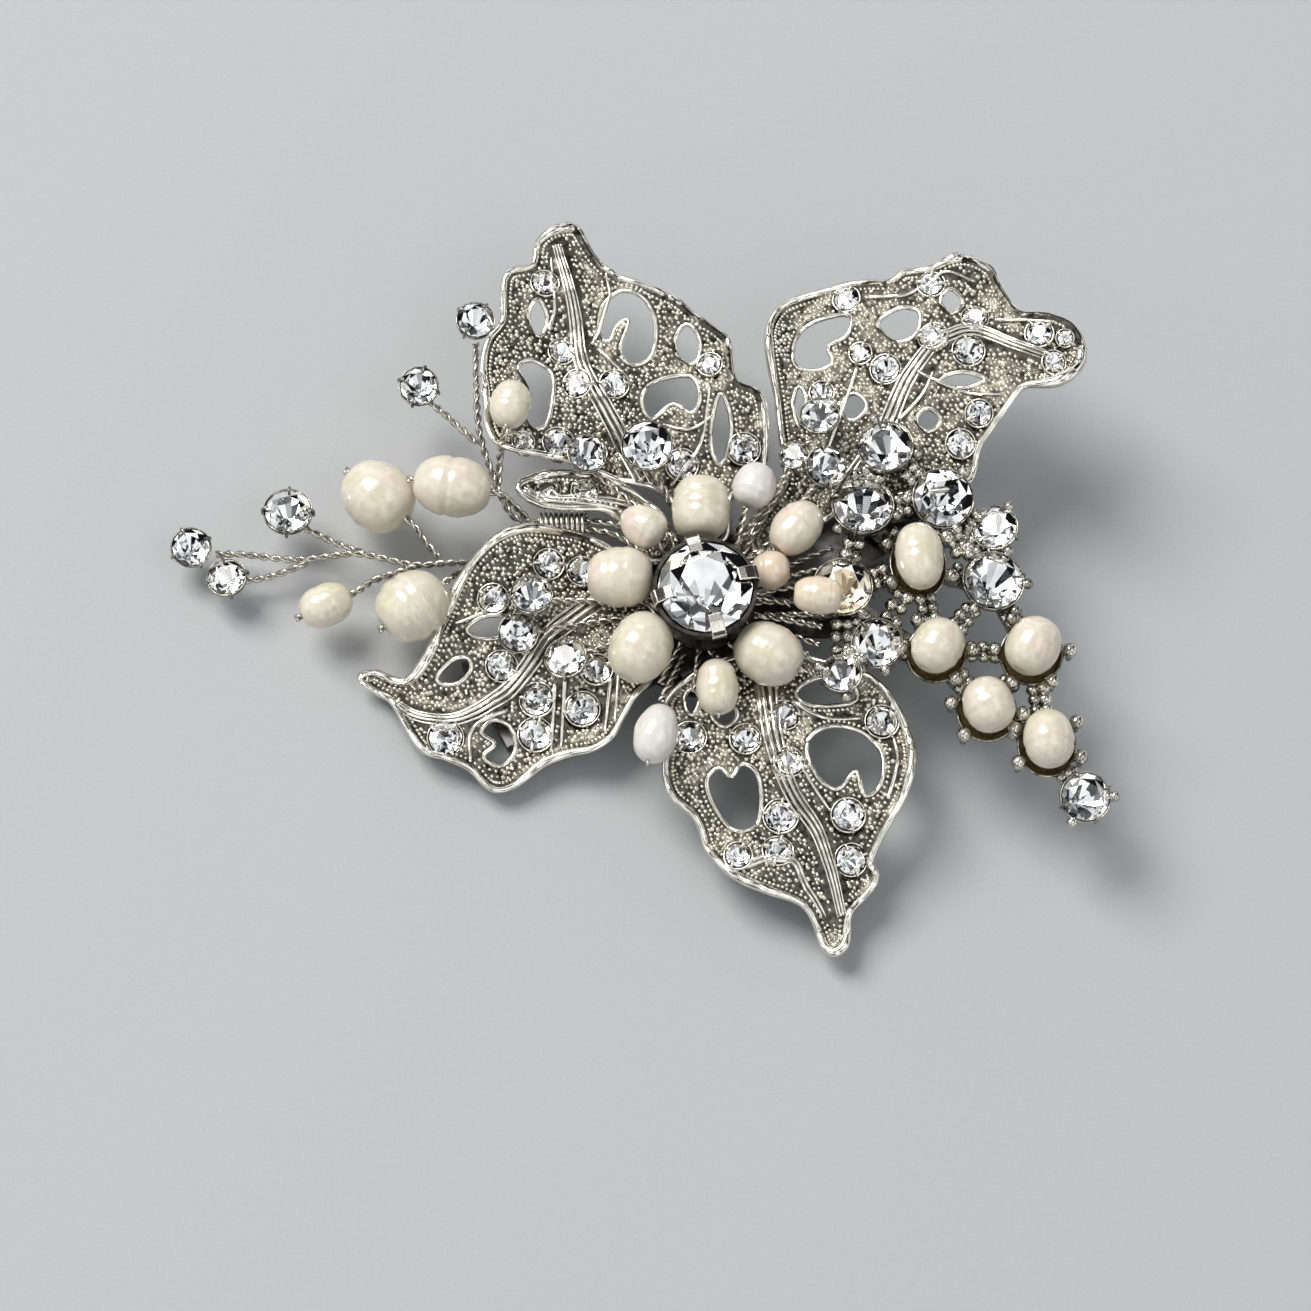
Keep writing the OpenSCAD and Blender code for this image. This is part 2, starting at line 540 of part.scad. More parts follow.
// A shallow oval cup under a pearl with four ball-ended claws at its corners
module pearl_cup(row) {
    place = row[0];
    l = row[1];
    w = row[2];
    z = cluster_z(place);
    translate([place.x, place.y, z - 2.5]) cylinder(d = w + 0.3, h = 1.1);
    for (turn = [58, 122, 238, 302]) {
        spot = [(l / 2 + 0.4) * cos(turn), (w / 2 + 0.8) * sin(turn) * 1.1, 0];
        translate([place.x, place.y, z]) rotate([0, 0, row[3]]) {
            translate(spot + [0, 0, -2.6]) cylinder(r = 0.4, h = 2.5);
            translate(spot) sphere(r = 0.64);
        }
    }
}
module cluster_cups() {
    color(silver) lying() for (row = cluster_pearl_rows) pearl_cup(row);
}
module cluster_pearl(i) {
    row = cluster_pearl_rows[i];
    color(pearl_cream)
    lying()
    pearl([row[0].x, row[0].y, cluster_z(row[0]) + row[2] / 2 - 1.35], row[1], row[2], row[3]);
}
module cluster_settings() {
    color(silver)
    lying() {
        for (i = [0 : len(cluster_stone_rows) - 1]) {
            row = cluster_stone_rows[i];
            translate([row[0].x, row[0].y, cluster_z(row[0]) + row[2]]) facing(sway(i)) cup(row[1]);
        }
        translate([champagne[0].x, champagne[0].y, champagne_z]) cup(champagne[1]);
    }
}
module cluster_stones() {
    color(crystal)
    lying()
    for (i = [0 : len(cluster_stone_rows) - 1]) {
        row = cluster_stone_rows[i];
        translate([row[0].x, row[0].y, cluster_z(row[0]) + row[2]]) facing(sway(i)) stone(row[1]);
    }
}
module champagne_stone() {
    color([0.93, 0.8, 0.62])
    lying()
    translate([champagne[0].x, champagne[0].y, champagne_z]) stone(champagne[1]);
}

// ---------------------------------------------------------------- middle
module back_plate() {
    color(silver)
    lying()
    translate([middle.x, middle.y, plate_top - sheet_t])
    difference() {
        union() {
            cylinder(r = plate_r, h = sheet_t, $fn = 96);
            translate([3, -2.5, 0]) cube([plate_r + 3, 5, sheet_t]);
        }
        // Wire holes
        for (turn = [15 : 60 : 315])
            rotate([0, 0, turn]) translate([6.6, 0, -1]) cylinder(r = 0.7, h = sheet_t + 2);
    }
}
module middle_setting() {
    post_r = 2.6;
    rim_r = middle_d / 2 + 0.4;
    color(silver)
    lying()
    translate([middle.x, middle.y, 0]) {
        rotate_extrude($fn = 96)
        polygon([
            [0, plate_top], [4.2, plate_top], [4.2, plate_top + 0.6], [post_r, plate_top + 0.9],
            [post_r, middle_z - 4.6], [rim_r, middle_z - 0.9], [rim_r, middle_z + 0.1],
            [middle_d / 2 + 0.05, middle_z + 0.1], [middle_d / 2 + 0.05, middle_z - 0.4],
            [0, middle_z - 4.2]
        ]);
        // Four flat prongs, set square to the picture of the flower
        for (turn = [15 : 90 : 285])
            rotate([0, 0, turn]) translate([middle_d / 2 + 0.08, -0.6, middle_z - 0.5])
            cube([0.5, 1.2, 1.5]);
    }
}
module middle_stone() {
    color(crystal) lying() translate([middle.x, middle.y, middle_z]) stone(middle_d);
}

// ---------------------------------------------------------------- clip
// The clip's own frame: X from the jaw tip to the lever, Y across, the middle at 0
hinge_x = 7;
hinge_z = 5.6;
ear_r = 1.6;
ear_gap = 0.2;
module in_clip() {
    lying() translate([middle.x, middle.y, 0]) rotate([0, 0, clip_turn]) translate([0, clip_shift, 0]) children();
}
// An outline in the clip's X and Z, made w thick about Y = y
module side_cut(y, w) {
    translate([0, y + w / 2, 0]) rotate([90, 0, 0]) linear_extrude(w) children();
}
module hinge_bore(d) {
    translate([hinge_x, 0, hinge_z]) rotate([90, 0, 0]) cylinder(d = d, h = 2 * clip_w, center = true);
}
module clip_top_jaw() {
    color(steel)
    in_clip()
    difference() {
        union() {
            translate([-jaw_front, -clip_w / 2, jaw_under]) cube([jaw_front + jaw_rear, clip_w, sheet_t]);
            for (side = [-1, 1]) {
                side_cut(side * (clip_w / 2 - sheet_t / 2), sheet_t)
                polygon([[hinge_x - 3.5, jaw_under + eps], [hinge_x + 3.5, jaw_under + eps],
                    [hinge_x + ear_r, hinge_z], [hinge_x - ear_r, hinge_z]]);
                translate([hinge_x, side * (clip_w / 2 - sheet_t / 2), hinge_z]) rotate([90, 0, 0])
                    cylinder(r = ear_r, h = sheet_t, center = true);
            }
        }
        hinge_bore(pin_d);
    }
}
// Height of the lower jaw's underside at x
function lower_z(x) = jaw_tip_z - (x + jaw_front) * tan(jaw_slope);
inner_ear_y = clip_w / 2 - sheet_t - ear_gap - sheet_t / 2;
module clip_lower_jaw() {
    color(steel)
    in_clip()
    difference() {
        union() {
            side_cut(0, clip_w)
            polygon([
                [-jaw_front, lower_z(-jaw_front)], [jaw_rear, lower_z(jaw_rear)],
                [jaw_rear, lower_z(jaw_rear) + sheet_t], [-jaw_front, lower_z(-jaw_front) + sheet_t]
            ]);
            for (side = [-1, 1]) {
                side_cut(side * inner_ear_y, sheet_t)
                polygon([
                    [hinge_x - 3.5, lower_z(hinge_x - 3.5) + sheet_t / 2],
                    [hinge_x + 3.5, lower_z(hinge_x + 3.5) + sheet_t / 2],
                    [hinge_x + ear_r, hinge_z], [hinge_x - ear_r, hinge_z]
                ]);
                translate([hinge_x, side * inner_ear_y, hinge_z]) rotate([90, 0, 0])
                    cylinder(r = ear_r, h = sheet_t, center = true);
            }
        }
        hinge_bore(pin_d + 2 * pin_gap);
    }
}
module clip_hinge_pin() {
    head = 0.5;
    color(steel)
    in_clip()
    translate([hinge_x, 0, hinge_z]) rotate([90, 0, 0]) {
        cylinder(d = pin_d, h = clip_w, center = true);
        for (side = [-1, 1])
            translate([0, 0, side * (clip_w + head) / 2]) cylinder(d = pin_d + 1, h = head, center = true);
    }
}
// The spring: a coil round the pin whose one leg lies under the upper jaw
coil_r = 1.45;
spring_wire_r = 0.3;
coil_turns = 5;
coil_pitch = 0.66;
coil_y = -1.2;
leg_l = 9;
// Turn that brings the lower leg down from the coil to the jaw
leg_turn = 3.5;
module clip_spring_coil() {
    color(steel)
    in_clip() {
        for (i = [0 : coil_turns - 1])
            translate([hinge_x, coil_y + coil_pitch * i, hinge_z]) rotate([90, 0, 0])
            rotate_extrude() translate([coil_r, 0]) circle(r = spring_wire_r);
        translate([hinge_x - leg_l - 0.5, coil_y - 0.7, jaw_under - spring_wire_r - 0.02]) rotate([0, 90, 0])
            cylinder(r = spring_wire_r, h = leg_l + 0.5);
    }
}
// The spring's other leg, which presses on the lower jaw and moves with it
module clip_spring_leg() {
    leg_y = coil_y + coil_pitch * coil_turns + 0.05;
    color(steel)
    in_clip()
    translate([hinge_x, leg_y, hinge_z]) {
        rotate([90, 0, 0]) rotate_extrude() translate([coil_r, 0]) circle(r = spring_wire_r);
        rotate([0, jaw_slope - leg_turn, 0]) translate([0, 0, -coil_r]) rotate([0, -90, 0])
            cylinder(r = spring_wire_r, h = leg_l);
    }
}

back_plate();
cast_leaf(top_left);  // leaf_top_left
cast_leaf(top_right);  // leaf_top_right
cast_leaf(left);  // leaf_left
cast_leaf(bottom);  // leaf_bottom
cast_leaf(small);  // leaf_small
leaf_stones(top_left, top_left_stones);  // stones_top_left
leaf_stones(top_right, top_right_stones);  // stones_top_right
leaf_stones(left, left_stones);  // stones_left
leaf_stones(bottom, bottom_stones);  // stones_bottom
leaf_stones(small, small_stones);  // stones_small
middle_setting();
middle_stone();
wired_pearl(north, pearl_cream, 0.6);  // pearl_north
wired_pearl(bud, pearl_white);  // pearl_bud
wired_pearl(north_east, pearl_cream);  // pearl_north_east
wired_pearl(round_one, pearl_rose);  // pearl_round
wired_pearl(peach, pearl_rose, 0.7);  // pearl_peach
wired_pearl(south_east, pearl_cream);  // pearl_south_east
wired_pearl(south, pearl_cream, 0.7);  // pearl_south
wired_pearl(drop, pearl_white);  // pearl_drop
wired_pearl(south_west, pearl_cream);  // pearl_south_west
wired_pearl(west, pearl_cream);  // pearl_west
wired_pearl(teardrop, pearl_rose);  // pearl_teardrop
spray_pearl(0);  // spray_pearl_1
spray_pearl(1);  // spray_pearl_2
spray_pearl(2);  // spray_pearl_3
spray_pearl(3);  // spray_pearl_4
spray_pearl(4);  // spray_pearl_5
cups(spray_crystal_rows);  // spray_settings
crystals(spray_crystal_rows);  // spray_crystals
cups(accent_rows);  // accent_settings
crystals(accent_rows);  // accent_crystals
twisted(left_routes);  // spray_wire_left
twisted(top_routes);  // spray_wire_top
twisted(middle_routes);  // middle_wires
wire_binding();
cluster_frame();
cluster_cups();
cluster_settings();
cluster_pearl(0);  // cluster_pearl_1
cluster_pearl(1);  // cluster_pearl_2
cluster_pearl(2);  // cluster_pearl_3
cluster_pearl(3);  // cluster_pearl_4
cluster_pearl(4);  // cluster_pearl_5
cluster_stones();
champagne_stone();
clip_top_jaw();
clip_hinge_pin();
clip_spring_coil();
clip_lower_jaw();
clip_spring_leg();
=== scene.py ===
import json
import math
import random

import bmesh
import bpy
import numpy as np
from mathutils import Matrix, Vector, geometry, kdtree, noise
from mathutils.bvhtree import BVHTree


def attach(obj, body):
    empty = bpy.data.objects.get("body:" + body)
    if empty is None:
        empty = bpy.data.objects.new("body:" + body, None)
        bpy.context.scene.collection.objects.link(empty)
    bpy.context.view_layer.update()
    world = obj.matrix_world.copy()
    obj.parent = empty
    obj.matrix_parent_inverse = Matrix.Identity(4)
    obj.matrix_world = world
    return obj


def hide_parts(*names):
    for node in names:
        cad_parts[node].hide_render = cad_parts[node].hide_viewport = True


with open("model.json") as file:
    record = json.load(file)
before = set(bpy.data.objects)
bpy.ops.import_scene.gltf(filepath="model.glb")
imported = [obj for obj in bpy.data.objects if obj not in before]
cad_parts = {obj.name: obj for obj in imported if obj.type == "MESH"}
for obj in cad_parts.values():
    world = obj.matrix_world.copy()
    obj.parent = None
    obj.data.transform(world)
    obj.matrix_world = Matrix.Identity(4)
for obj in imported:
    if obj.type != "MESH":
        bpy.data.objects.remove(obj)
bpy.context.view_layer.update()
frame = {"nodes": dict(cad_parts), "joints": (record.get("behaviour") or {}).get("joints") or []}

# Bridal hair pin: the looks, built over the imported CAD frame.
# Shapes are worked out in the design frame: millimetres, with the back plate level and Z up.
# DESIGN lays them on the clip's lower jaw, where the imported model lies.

NODES = frame["nodes"]
random.seed(7)

# -------- design frame
MM = 0.001
LEAN = math.radians(9.5)            # slope between the clip's jaws, which the pin leans at
MIDDLE = Vector((6.4, -2.3, 18.2))  # centre of the large stone's girdle in the design frame
MIDDLE_D = 9.6
PLATE_TOP = 10.2

hinge_axis = Vector(frame["joints"][0]["axis"])
TURN = Matrix.Rotation(LEAN, 4, hinge_axis)


def middle_in_frame():
    """The large stone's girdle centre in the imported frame, in metres."""
    level = [TURN.inverted() @ v.co for v in NODES["middle_stone"].data.vertices]
    low = [min(p[k] for p in level) for k in range(3)]
    high = [max(p[k] for p in level) for k in range(3)]
    table = Vector(((low[0] + high[0]) / 2, (low[1] + high[1]) / 2, high[2]))
    return TURN @ (table - Vector((0, 0, 0.2 * MIDDLE_D * MM)))


DESIGN = Matrix.Translation(middle_in_frame()) @ TURN @ Matrix.Scale(MM, 4) @ Matrix.Translation(-MIDDLE)
TO_DESIGN = DESIGN.inverted()


def design_points(node):
    """A CAD node's corners in the design frame."""
    return [TO_DESIGN @ v.co for v in NODES[node].data.vertices]


# -------- materials
def add_node(tree, kind, **settings):
    """A shader node with its sockets, or else its own properties, set."""
    made = tree.nodes.new(kind)
    for key, value in settings.items():
        if key in made.inputs:
            made.inputs[key].default_value = value
        else:
            setattr(made, key, value)
    return made


def ramp(tree, source, stops):
    """A colour ramp over source, from (place, colour) stops."""
    made = add_node(tree, "ShaderNodeValToRGB")
    elements = made.color_ramp.elements
    while len(elements) < len(stops):
        elements.new(0.5)
    for element, (place, colour) in zip(elements, stops):
        element.position = place
        element.color = (*colour, 1)
    tree.links.new(source, made.inputs["Fac"])
    return made.outputs["Color"]


class Finish:
    """A new material and its Principled shader. Sockets are named with _ for each space."""

    def __init__(self, name, **settings):
        self.material = bpy.data.materials.new(name)
        self.material.use_nodes = True
        self.tree = self.material.node_tree
        self.principled = self.tree.nodes["Principled BSDF"]
        for socket, value in settings.items():
            self.principled.inputs[socket.replace("_", " ")].default_value = value

    def noise(self, scale, detail=3.0, roughness=0.6):
        """Noise in the object's own coordinates, at so many features to the metre."""
        place = add_node(self.tree, "ShaderNodeTexCoord")
        made = add_node(self.tree, "ShaderNodeTexNoise", Scale=scale, Detail=detail, Roughness=roughness)
        self.tree.links.new(place.outputs["Object"], made.inputs["Vector"])
        return made.outputs["Fac"]

    def vary(self, source, stops, socket="Base Color"):
        """Sets a socket by a ramp over source."""
        self.tree.links.new(ramp(self.tree, source, stops), self.principled.inputs[socket])

    def bump(self, source, strength, distance):
        made = add_node(self.tree, "ShaderNodeBump", Strength=strength, Distance=distance)
        self.tree.links.new(source, made.inputs["Height"])
        self.tree.links.new(made.outputs["Normal"], self.principled.inputs["Normal"])


def metal(name, dark, bright, roughness, grain, depth):
    """A metal whose colour runs from dark to bright, with a fine cast or drawn grain."""
    finish = Finish(name, Metallic=1.0, Roughness=roughness)
    tarnish = finish.noise(grain)
    finish.vary(tarnish, [(0.35, dark), (0.65, bright)])
    finish.vary(tarnish, [(0.3, [roughness * 1.5] * 3), (0.7, [roughness * 0.6] * 3)], "Roughness")
    finish.bump(finish.noise(grain * 6), 0.35, depth)
    return finish.material


def pearl_skin(name, body, rose, green):
    """Nacre: a satin body with patches of overtone, a clear coat and a little light inside."""
    finish = Finish(
        name, Roughness=0.3, Coat_Weight=0.75, Coat_Roughness=0.14, Coat_IOR=1.7, Subsurface_Weight=0.06,
        Subsurface_Scale=0.0008, IOR=1.65,
    )
    finish.vary(finish.noise(260, 2.0), [(0.34, green), (0.46, body), (0.56, body), (0.68, rose)])
    finish.bump(finish.noise(900, 4.0), 0.22, 0.0001)
    return finish.material


def glass(name, tint):
    return Finish(name, Base_Color=(*tint, 1), Roughness=0.0, IOR=1.6, Transmission_Weight=1.0).material


def foil(name, tint):
    """The mirror backing on a stone's lower facets, a little uneven from facet to facet."""
    finish = Finish(name, Metallic=1.0, Roughness=0.03)
    finish.vary(finish.noise(500, 1.0), [(0.3, [0.72 * c for c in tint]), (0.7, tint)])
    return finish.material


RIM = metal("polished_silver", (0.66, 0.64, 0.57), (0.90, 0.88, 0.82), 0.13, 900, 0.00002)
GRAIN = metal("granulated_silver", (0.40, 0.385, 0.33), (0.82, 0.80, 0.71), 0.18, 1100, 0.00002)
# The leaves' sheet is near black: partly the oxide in the real leaves' hollows, partly painted shade for
# the shade in their recesses and their self-shadow.
SHEET = metal("oxide_and_painted_shade_silver", (0.02, 0.0186, 0.015), (0.18, 0.168, 0.14), 0.30, 1300, 0.00006)
BACK = metal("cast_silver", (0.16, 0.15, 0.13), (0.38, 0.36, 0.32), 0.36, 700, 0.00005)
DARK = metal("darkened_silver", (0.015, 0.014, 0.012), (0.07, 0.065, 0.056), 0.42, 900, 0.00005)
CUP = metal("cup_silver", (0.08, 0.075, 0.062), (0.56, 0.535, 0.47), 0.20, 1000, 0.00003)
GILT = metal("gilt_cup", (0.16, 0.13, 0.07), (0.50, 0.43, 0.29), 0.26, 1000, 0.00003)
BALL = metal("ball_silver", (0.22, 0.21, 0.18), (0.72, 0.70, 0.63), 0.12, 500, 0.00001)
WIRE = metal("craft_wire", (0.36, 0.34, 0.30), (0.70, 0.67, 0.60), 0.20, 1500, 0.00001)
STEEL = metal("clip_steel", (0.21, 0.21, 0.21), (0.32, 0.32, 0.315), 0.28, 600, 0.00002)
CREAM = pearl_skin("cream_nacre", (0.80, 0.735, 0.595), (0.82, 0.69, 0.58), (0.74, 0.69, 0.50))
WHITE = pearl_skin("white_nacre", (0.83, 0.80, 0.75), (0.82, 0.75, 0.74), (0.78, 0.78, 0.70))
ROSE = pearl_skin("rose_nacre", (0.83, 0.69, 0.53), (0.83, 0.62, 0.48), (0.80, 0.72, 0.53))
CLEAR = glass("clear_crystal", (0.98, 0.99, 1.0))
CHAMPAGNE = glass("champagne_crystal", (0.99, 0.93, 0.82))
FOIL = foil("silver_foil", (0.78, 0.785, 0.80))
GOLD_FOIL = foil("gold_foil", (0.88, 0.79, 0.63))


# -------- mesh building
class Shape:
    """Corners and faces in the design frame, gathered before they become one piece."""

    def __init__(self):
        self.corners = []
        self.faces = []
        self.materials = []
        self.smooth = []

    def add(self, corners, faces, material=0, smooth=True):
        start = len(self.corners)
        self.corners.extend(corners)
        for face in faces:
            self.faces.append([start + k for k in face])
            self.materials.append(material)
            self.smooth.append(smooth)

    def piece(self, name, materials, replaces=(), body="root"):
        """Makes the piece, puts it in place and says what it rides on and replaces."""
        mesh = bpy.data.meshes.new(name)
        mesh.from_pydata([DESIGN @ Vector(p) for p in self.corners], [], self.faces)
        mesh.polygons.foreach_set("material_index", self.materials)
        mesh.polygons.foreach_set("use_smooth", self.smooth)
        mesh.validate()
        made = bpy.data.objects.new(name, mesh)
        bpy.context.scene.collection.objects.link(made)
        for material in materials:
            mesh.materials.append(material)
        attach(made, body)
        if replaces:
            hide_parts(*replaces)
        return made


def axes_about(axis):
    """Two directions square to an axis and to each other."""
    axis = Vector(axis).normalized()
    side = axis.cross(Vector((0, 0, 1)) if abs(axis.z) < 0.9 else Vector((1, 0, 0))).normalized()
    return side, axis.cross(side)


def spoke(axes, angle):
    """The unit direction at an angle round two axes."""
    return axes[0] * math.cos(angle) + axes[1] * math.sin(angle)


def spokes(axes, count, offset=0.0):
    """Unit directions evenly round two axes. The first is offset steps on."""
    return [spoke(axes, 2 * math.pi * (k + offset) / count) for k in range(count)]


def heading(angle):
    """The level direction at an angle from X."""
    return Vector((math.cos(angle), math.sin(angle), 0))


def band(low, high, count):
    """Faces between two rings of count corners, which start at the corners low and high."""
    faces = []
    for k in range(count):
        n = (k + 1) % count
        faces.append([low + k, low + n, high + n, high + k])
    return faces


def along_at(line, i, closed=False):
    """A line's direction at its point i."""
    last = len(line) - 1
    ahead = line[(i + 1) % len(line)] if closed else line[min(i + 1, last)]
    behind = line[i - 1] if closed else line[max(i - 1, 0)]
    return (ahead - behind).normalized()


def lathe(shape, centre, axis, profile, steps=24, material=0):
    """Turns a profile of (radius, height) about an axis. It closes where the radius is 0."""
    axis = Vector(axis).normalized()
    around = spokes(axes_about(axis), steps)
    corners = []
    starts = []
    for radius, height in profile:
        starts.append(len(corners))
        middle = Vector(centre) + axis * height
        corners += [middle + out * radius for out in around] if radius else [middle]
    faces = []
    for i, (low, high) in enumerate(zip(starts, starts[1:])):
        quads = band(low, high, steps)
        if not profile[i][0]:
            faces += [[low, c, d] for _, _, c, d in quads]
        elif not profile[i + 1][0]:
            faces += [[a, b, high] for a, b, _, _ in quads]
        else:
            faces += quads
    shape.add(corners, faces, material)


def tube(shape, path, radius, sides=6, closed=False):
    """A round tube along a path. radius is a number, a list, or a function of the share of the way."""
    path = [Vector(p) for p in path]
    count = len(path)
    side = axes_about(along_at(path, 0, closed))[0]
    corners = []
    for i, point in enumerate(path):
        along = along_at(path, i, closed)
        side = (side - along * side.dot(along)).normalized()
        r = radius
        if callable(radius):
            r = radius(i / (count - 1))
        elif isinstance(radius, list):
            r = radius[i]
        corners += [point + out * r for out in spokes((side, along.cross(side)), sides)]
    faces = []
    for i in range(count if closed else count - 1):
        faces += band(i * sides, (i + 1) % count * sides, sides)
    if not closed:
        faces.append(list(range(sides))[::-1])
        faces.append([(count - 1) * sides + k for k in range(sides)])
    shape.add(corners, faces)


def ball(shape, centre, radius, material=0, steps=10):
    """A round bead of metal."""
    half = steps // 2
    profile = [(radius * math.sin(math.pi * i / half), -radius * math.cos(math.pi * i / half))
               for i in range(1, half)]
    lathe(shape, centre, (0, 0, 1), [(0, -radius), *profile, (0, radius)], steps, material)


def grain(shape, centre, normal, radius):
    """A raised bead of granulation, sunk a little into the surface under it."""
    axes = axes_about(normal)
    corners = []
    for reach, lift, offset in ((1.0, -0.35, 0.0), (0.8, 0.5, 0.5)):
        corners += [centre + (out * reach + normal * lift) * radius for out in spokes(axes, 6, offset)]
    corners.append(centre + normal * radius * 0.95)
    faces = []
    for k in range(6):
        n = (k + 1) % 6
        faces += [[k, n, 6 + k], [n, 6 + n, 6 + k], [6 + k, 6 + n, 12]]
    shape.add(corners, faces)


def bend(a, b, c, d, t):
    """A point of the smooth curve through b and c, between a and d."""
    return 0.5 * (2 * b + (c - a) * t + (2 * a - 5 * b + 4 * c - d) * t ** 2
                  + (3 * b - a - 3 * c + d) * t ** 3)


def smooth_route(route, step):
    """An open smooth curve through a route, with a point about every step."""
    route = [Vector(p) for p in route]
    route = [2 * route[0] - route[1]] + route + [2 * route[-1] - route[-2]]
    line = []
    for a, b, c, d in zip(route, route[1:], route[2:], route[3:]):
        count = max(1, round((c - b).length / step))
        line.extend(bend(a, b, c, d, k / count) for k in range(count))
    line.append(route[-2])
    return line


# -------- cut stones
# Shares of a stone's radius
TABLE_R = 0.56
CROWN_H = 0.36
STAR_R = 0.80
PAVILION_H = 0.80
FIT = 0.985  # how much of its CAD size a stone or pearl fills


def cut_stone(shape, centre, axis, d, turn):
    """A round brilliant: glass crown facets (slot 0) over mirror-backed lower facets (slot 1)."""
    r = d / 2
    axis = Vector(axis).normalized()
    spun = spoke(axes_about(axis), turn)
    axes = (spun, axis.cross(spun))

    def ring(radius, height, count, offset=0.0):
        return [centre + (out * radius + axis * height) * r for out in spokes(axes, count, offset)]

    # Corners 0 to 7 are the table's, 8 the star's, 16 and 32 the girdle's, 48 the point
    corners = ring(TABLE_R, CROWN_H, 8) + ring(STAR_R, 0.55 * CROWN_H, 8, 0.5)
    corners += ring(1, 0.03, 16) + ring(1, -0.04, 16) + [centre - axis * PAVILION_H * r]
    crown = [list(range(8))]
    back = []
    for k in range(8):
        star = 8 + k
        g = [16 + (2 * k + j) % 16 for j in range(3)]
        u = [j + 16 for j in g]
        crown += [[k, star, (k + 1) % 8], [k, 8 + (k - 1) % 8, g[0], star], [star, g[0], g[1]],
                  [star, g[1], g[2]], [g[0], u[0], u[1], g[1]], [g[1], u[1], u[2], g[2]]]
        back += [[48, u[1], u[0]], [48, u[2], u[1]]]
    shape.add(corners, [face[::-1] for face in crown], 0, False)
    shape.add(corners, [face[::-1] for face in back], 1, False)


def islands(node):
    """The separate solids of a node, as arrays of corners in the design frame."""
    work = bmesh.new()
    work.from_mesh(NODES[node].data)
    bmesh.ops.remove_doubles(work, verts=work.verts, dist=0.002 * MM)
    left = set(work.verts)
    found = []
    while left:
        stack = [left.pop()]
        group = list(stack)
        while stack:
            for edge in stack.pop().link_edges:
                for v in edge.verts:
                    if v in left:
                        left.discard(v)
                        stack.append(v)
                        group.append(v)
        found.append(np.array([TO_DESIGN @ v.co for v in group]))
    work.free()
    found.sort(key=lambda points: tuple(points.mean(axis=0).round(3)))
    return found


def stone_places(node):
    """Each stone of a node: girdle centre, axis and diameter."""
    places = []
    for points in islands(node):
        centre = points.mean(axis=0)
        axis = np.linalg.eigh(np.cov((points - centre).T))[1][:, 0]
        if axis[2] < 0:
            axis = -axis
        heights = points @ axis
        radial = (points - centre) - np.outer((points - centre) @ axis, axis)
        mid = (radial.max(axis=0) + radial.min(axis=0)) / 2
        d = 2 * np.linalg.norm(radial - mid, axis=1).max()
        girdle = centre + mid + axis * (heights.max() - centre @ axis - 0.2 * d)
        places.append((Vector(girdle), Vector(axis), float(d)))
    return places


def stones_piece(name, places, node, materials=(CLEAR, FOIL)):
    shape = Shape()
    for i, (centre, axis, d) in enumerate(places):
        cut_stone(shape, centre, axis, FIT * d, 1.9 * i)
    shape.piece(name, materials, [node])


def claws(shape, centre, axis, d, turn, radius):
    """Four claws that climb beside the girdle and fold over the crown's edge."""
    r = d / 2
    axes = axes_about(axis)
    for k in range(4):
        out = spoke(axes, turn + math.pi * k / 2)
        path = [
            centre + out * (r + 0.22) - axis * 0.30 * r,
            centre + out * (r + 0.24),
            centre + out * (r + 0.10) + axis * (0.12 * r + 0.12),
            centre + out * (r - 0.30) + axis * (0.26 * r + 0.14),
        ]
        tube(shape, path, lambda s: radius * (1 - 0.25 * s))
        ball(shape, path[-1], radius * 0.85, 0, 8)


def stone_cup(shape, centre, axis, d, turn):
    """A turned cup with a bright rim, a stepped wall and four claws."""
    r = d / 2
    profile = [
        (0, -0.86 * r - 0.55), (0.4 * r, -0.86 * r - 0.55), (0.46 * r, -0.84 * r - 0.35),
        (0.5 * r, -0.8 * r - 0.1), (0.96 * r, -0.26 * r), (r + 0.15, -0.2 * r), (r + 0.18, -0.04 * r),
        (r + 0.14, 0.04 * r), (r + 0.06, 0.04 * r), (r + 0.04, -0.05 * r), (0.5 * r, -0.62 * r),
        (0, -0.86 * r - 0.05),
    ]
    lathe(shape, centre, axis, profile)
    claws(shape, centre, axis, d, turn, 0.18)


# -------- leaves
SHEET_T = 0.85     # thickness of a leaf's sheet
MESH_STEP = 0.42   # spacing of the points of a leaf's surface
ROW = 0.866        # spacing of rows of points, as a share of the spacing within a row
RIM_R = 0.36       # polished rim round a leaf
HOLE_RIM_R = 0.25  # rim round a pierced hole
RIM_SINK = 0.16    # how far the rims' middles lie under the surface
PIT = 0.45         # least depth of the pit under a stone
VEIN_R = 0.25
VEIN_STEP = 0.35   # spacing of the points along a vein
SKY = 60           # a height over everything, from which the surfaces are sought
DOWN = Vector((0, 0, -1))
# The midrib's ridges: distance from its line, radius and lift
RIDGES = ((-1.0, 0.19, -0.04), (-0.36, 0.26, 0.08), (0.36, 0.26, 0.08), (1.0, 0.19, -0.04))
# Beads: spacing, most shift, least and greatest radius
BEAD_STEP = 0.54
BEAD_SHIFT = 0.16
BEAD_R = (0.17, 0.34)
ROW_BEAD_STEP = 0.46
ROW_BEAD_R = 0.22
ROW_INSET = (0.72, 0.52)  # from the outline, and from a hole
UPRIGHT = Vector((0, 0, 0.6))  # turns a stone from the surface's slope towards upright
SEAT_LIFT = 0.30               # height of a stone's girdle over the surface
# A stone's seat: reach past the girdle and height, from outside to inside
SEAT = ((0.26, -0.75), (0.27, -0.12), (0.19, 0.02), (0.1, -0.06), (0.08, -0.6))
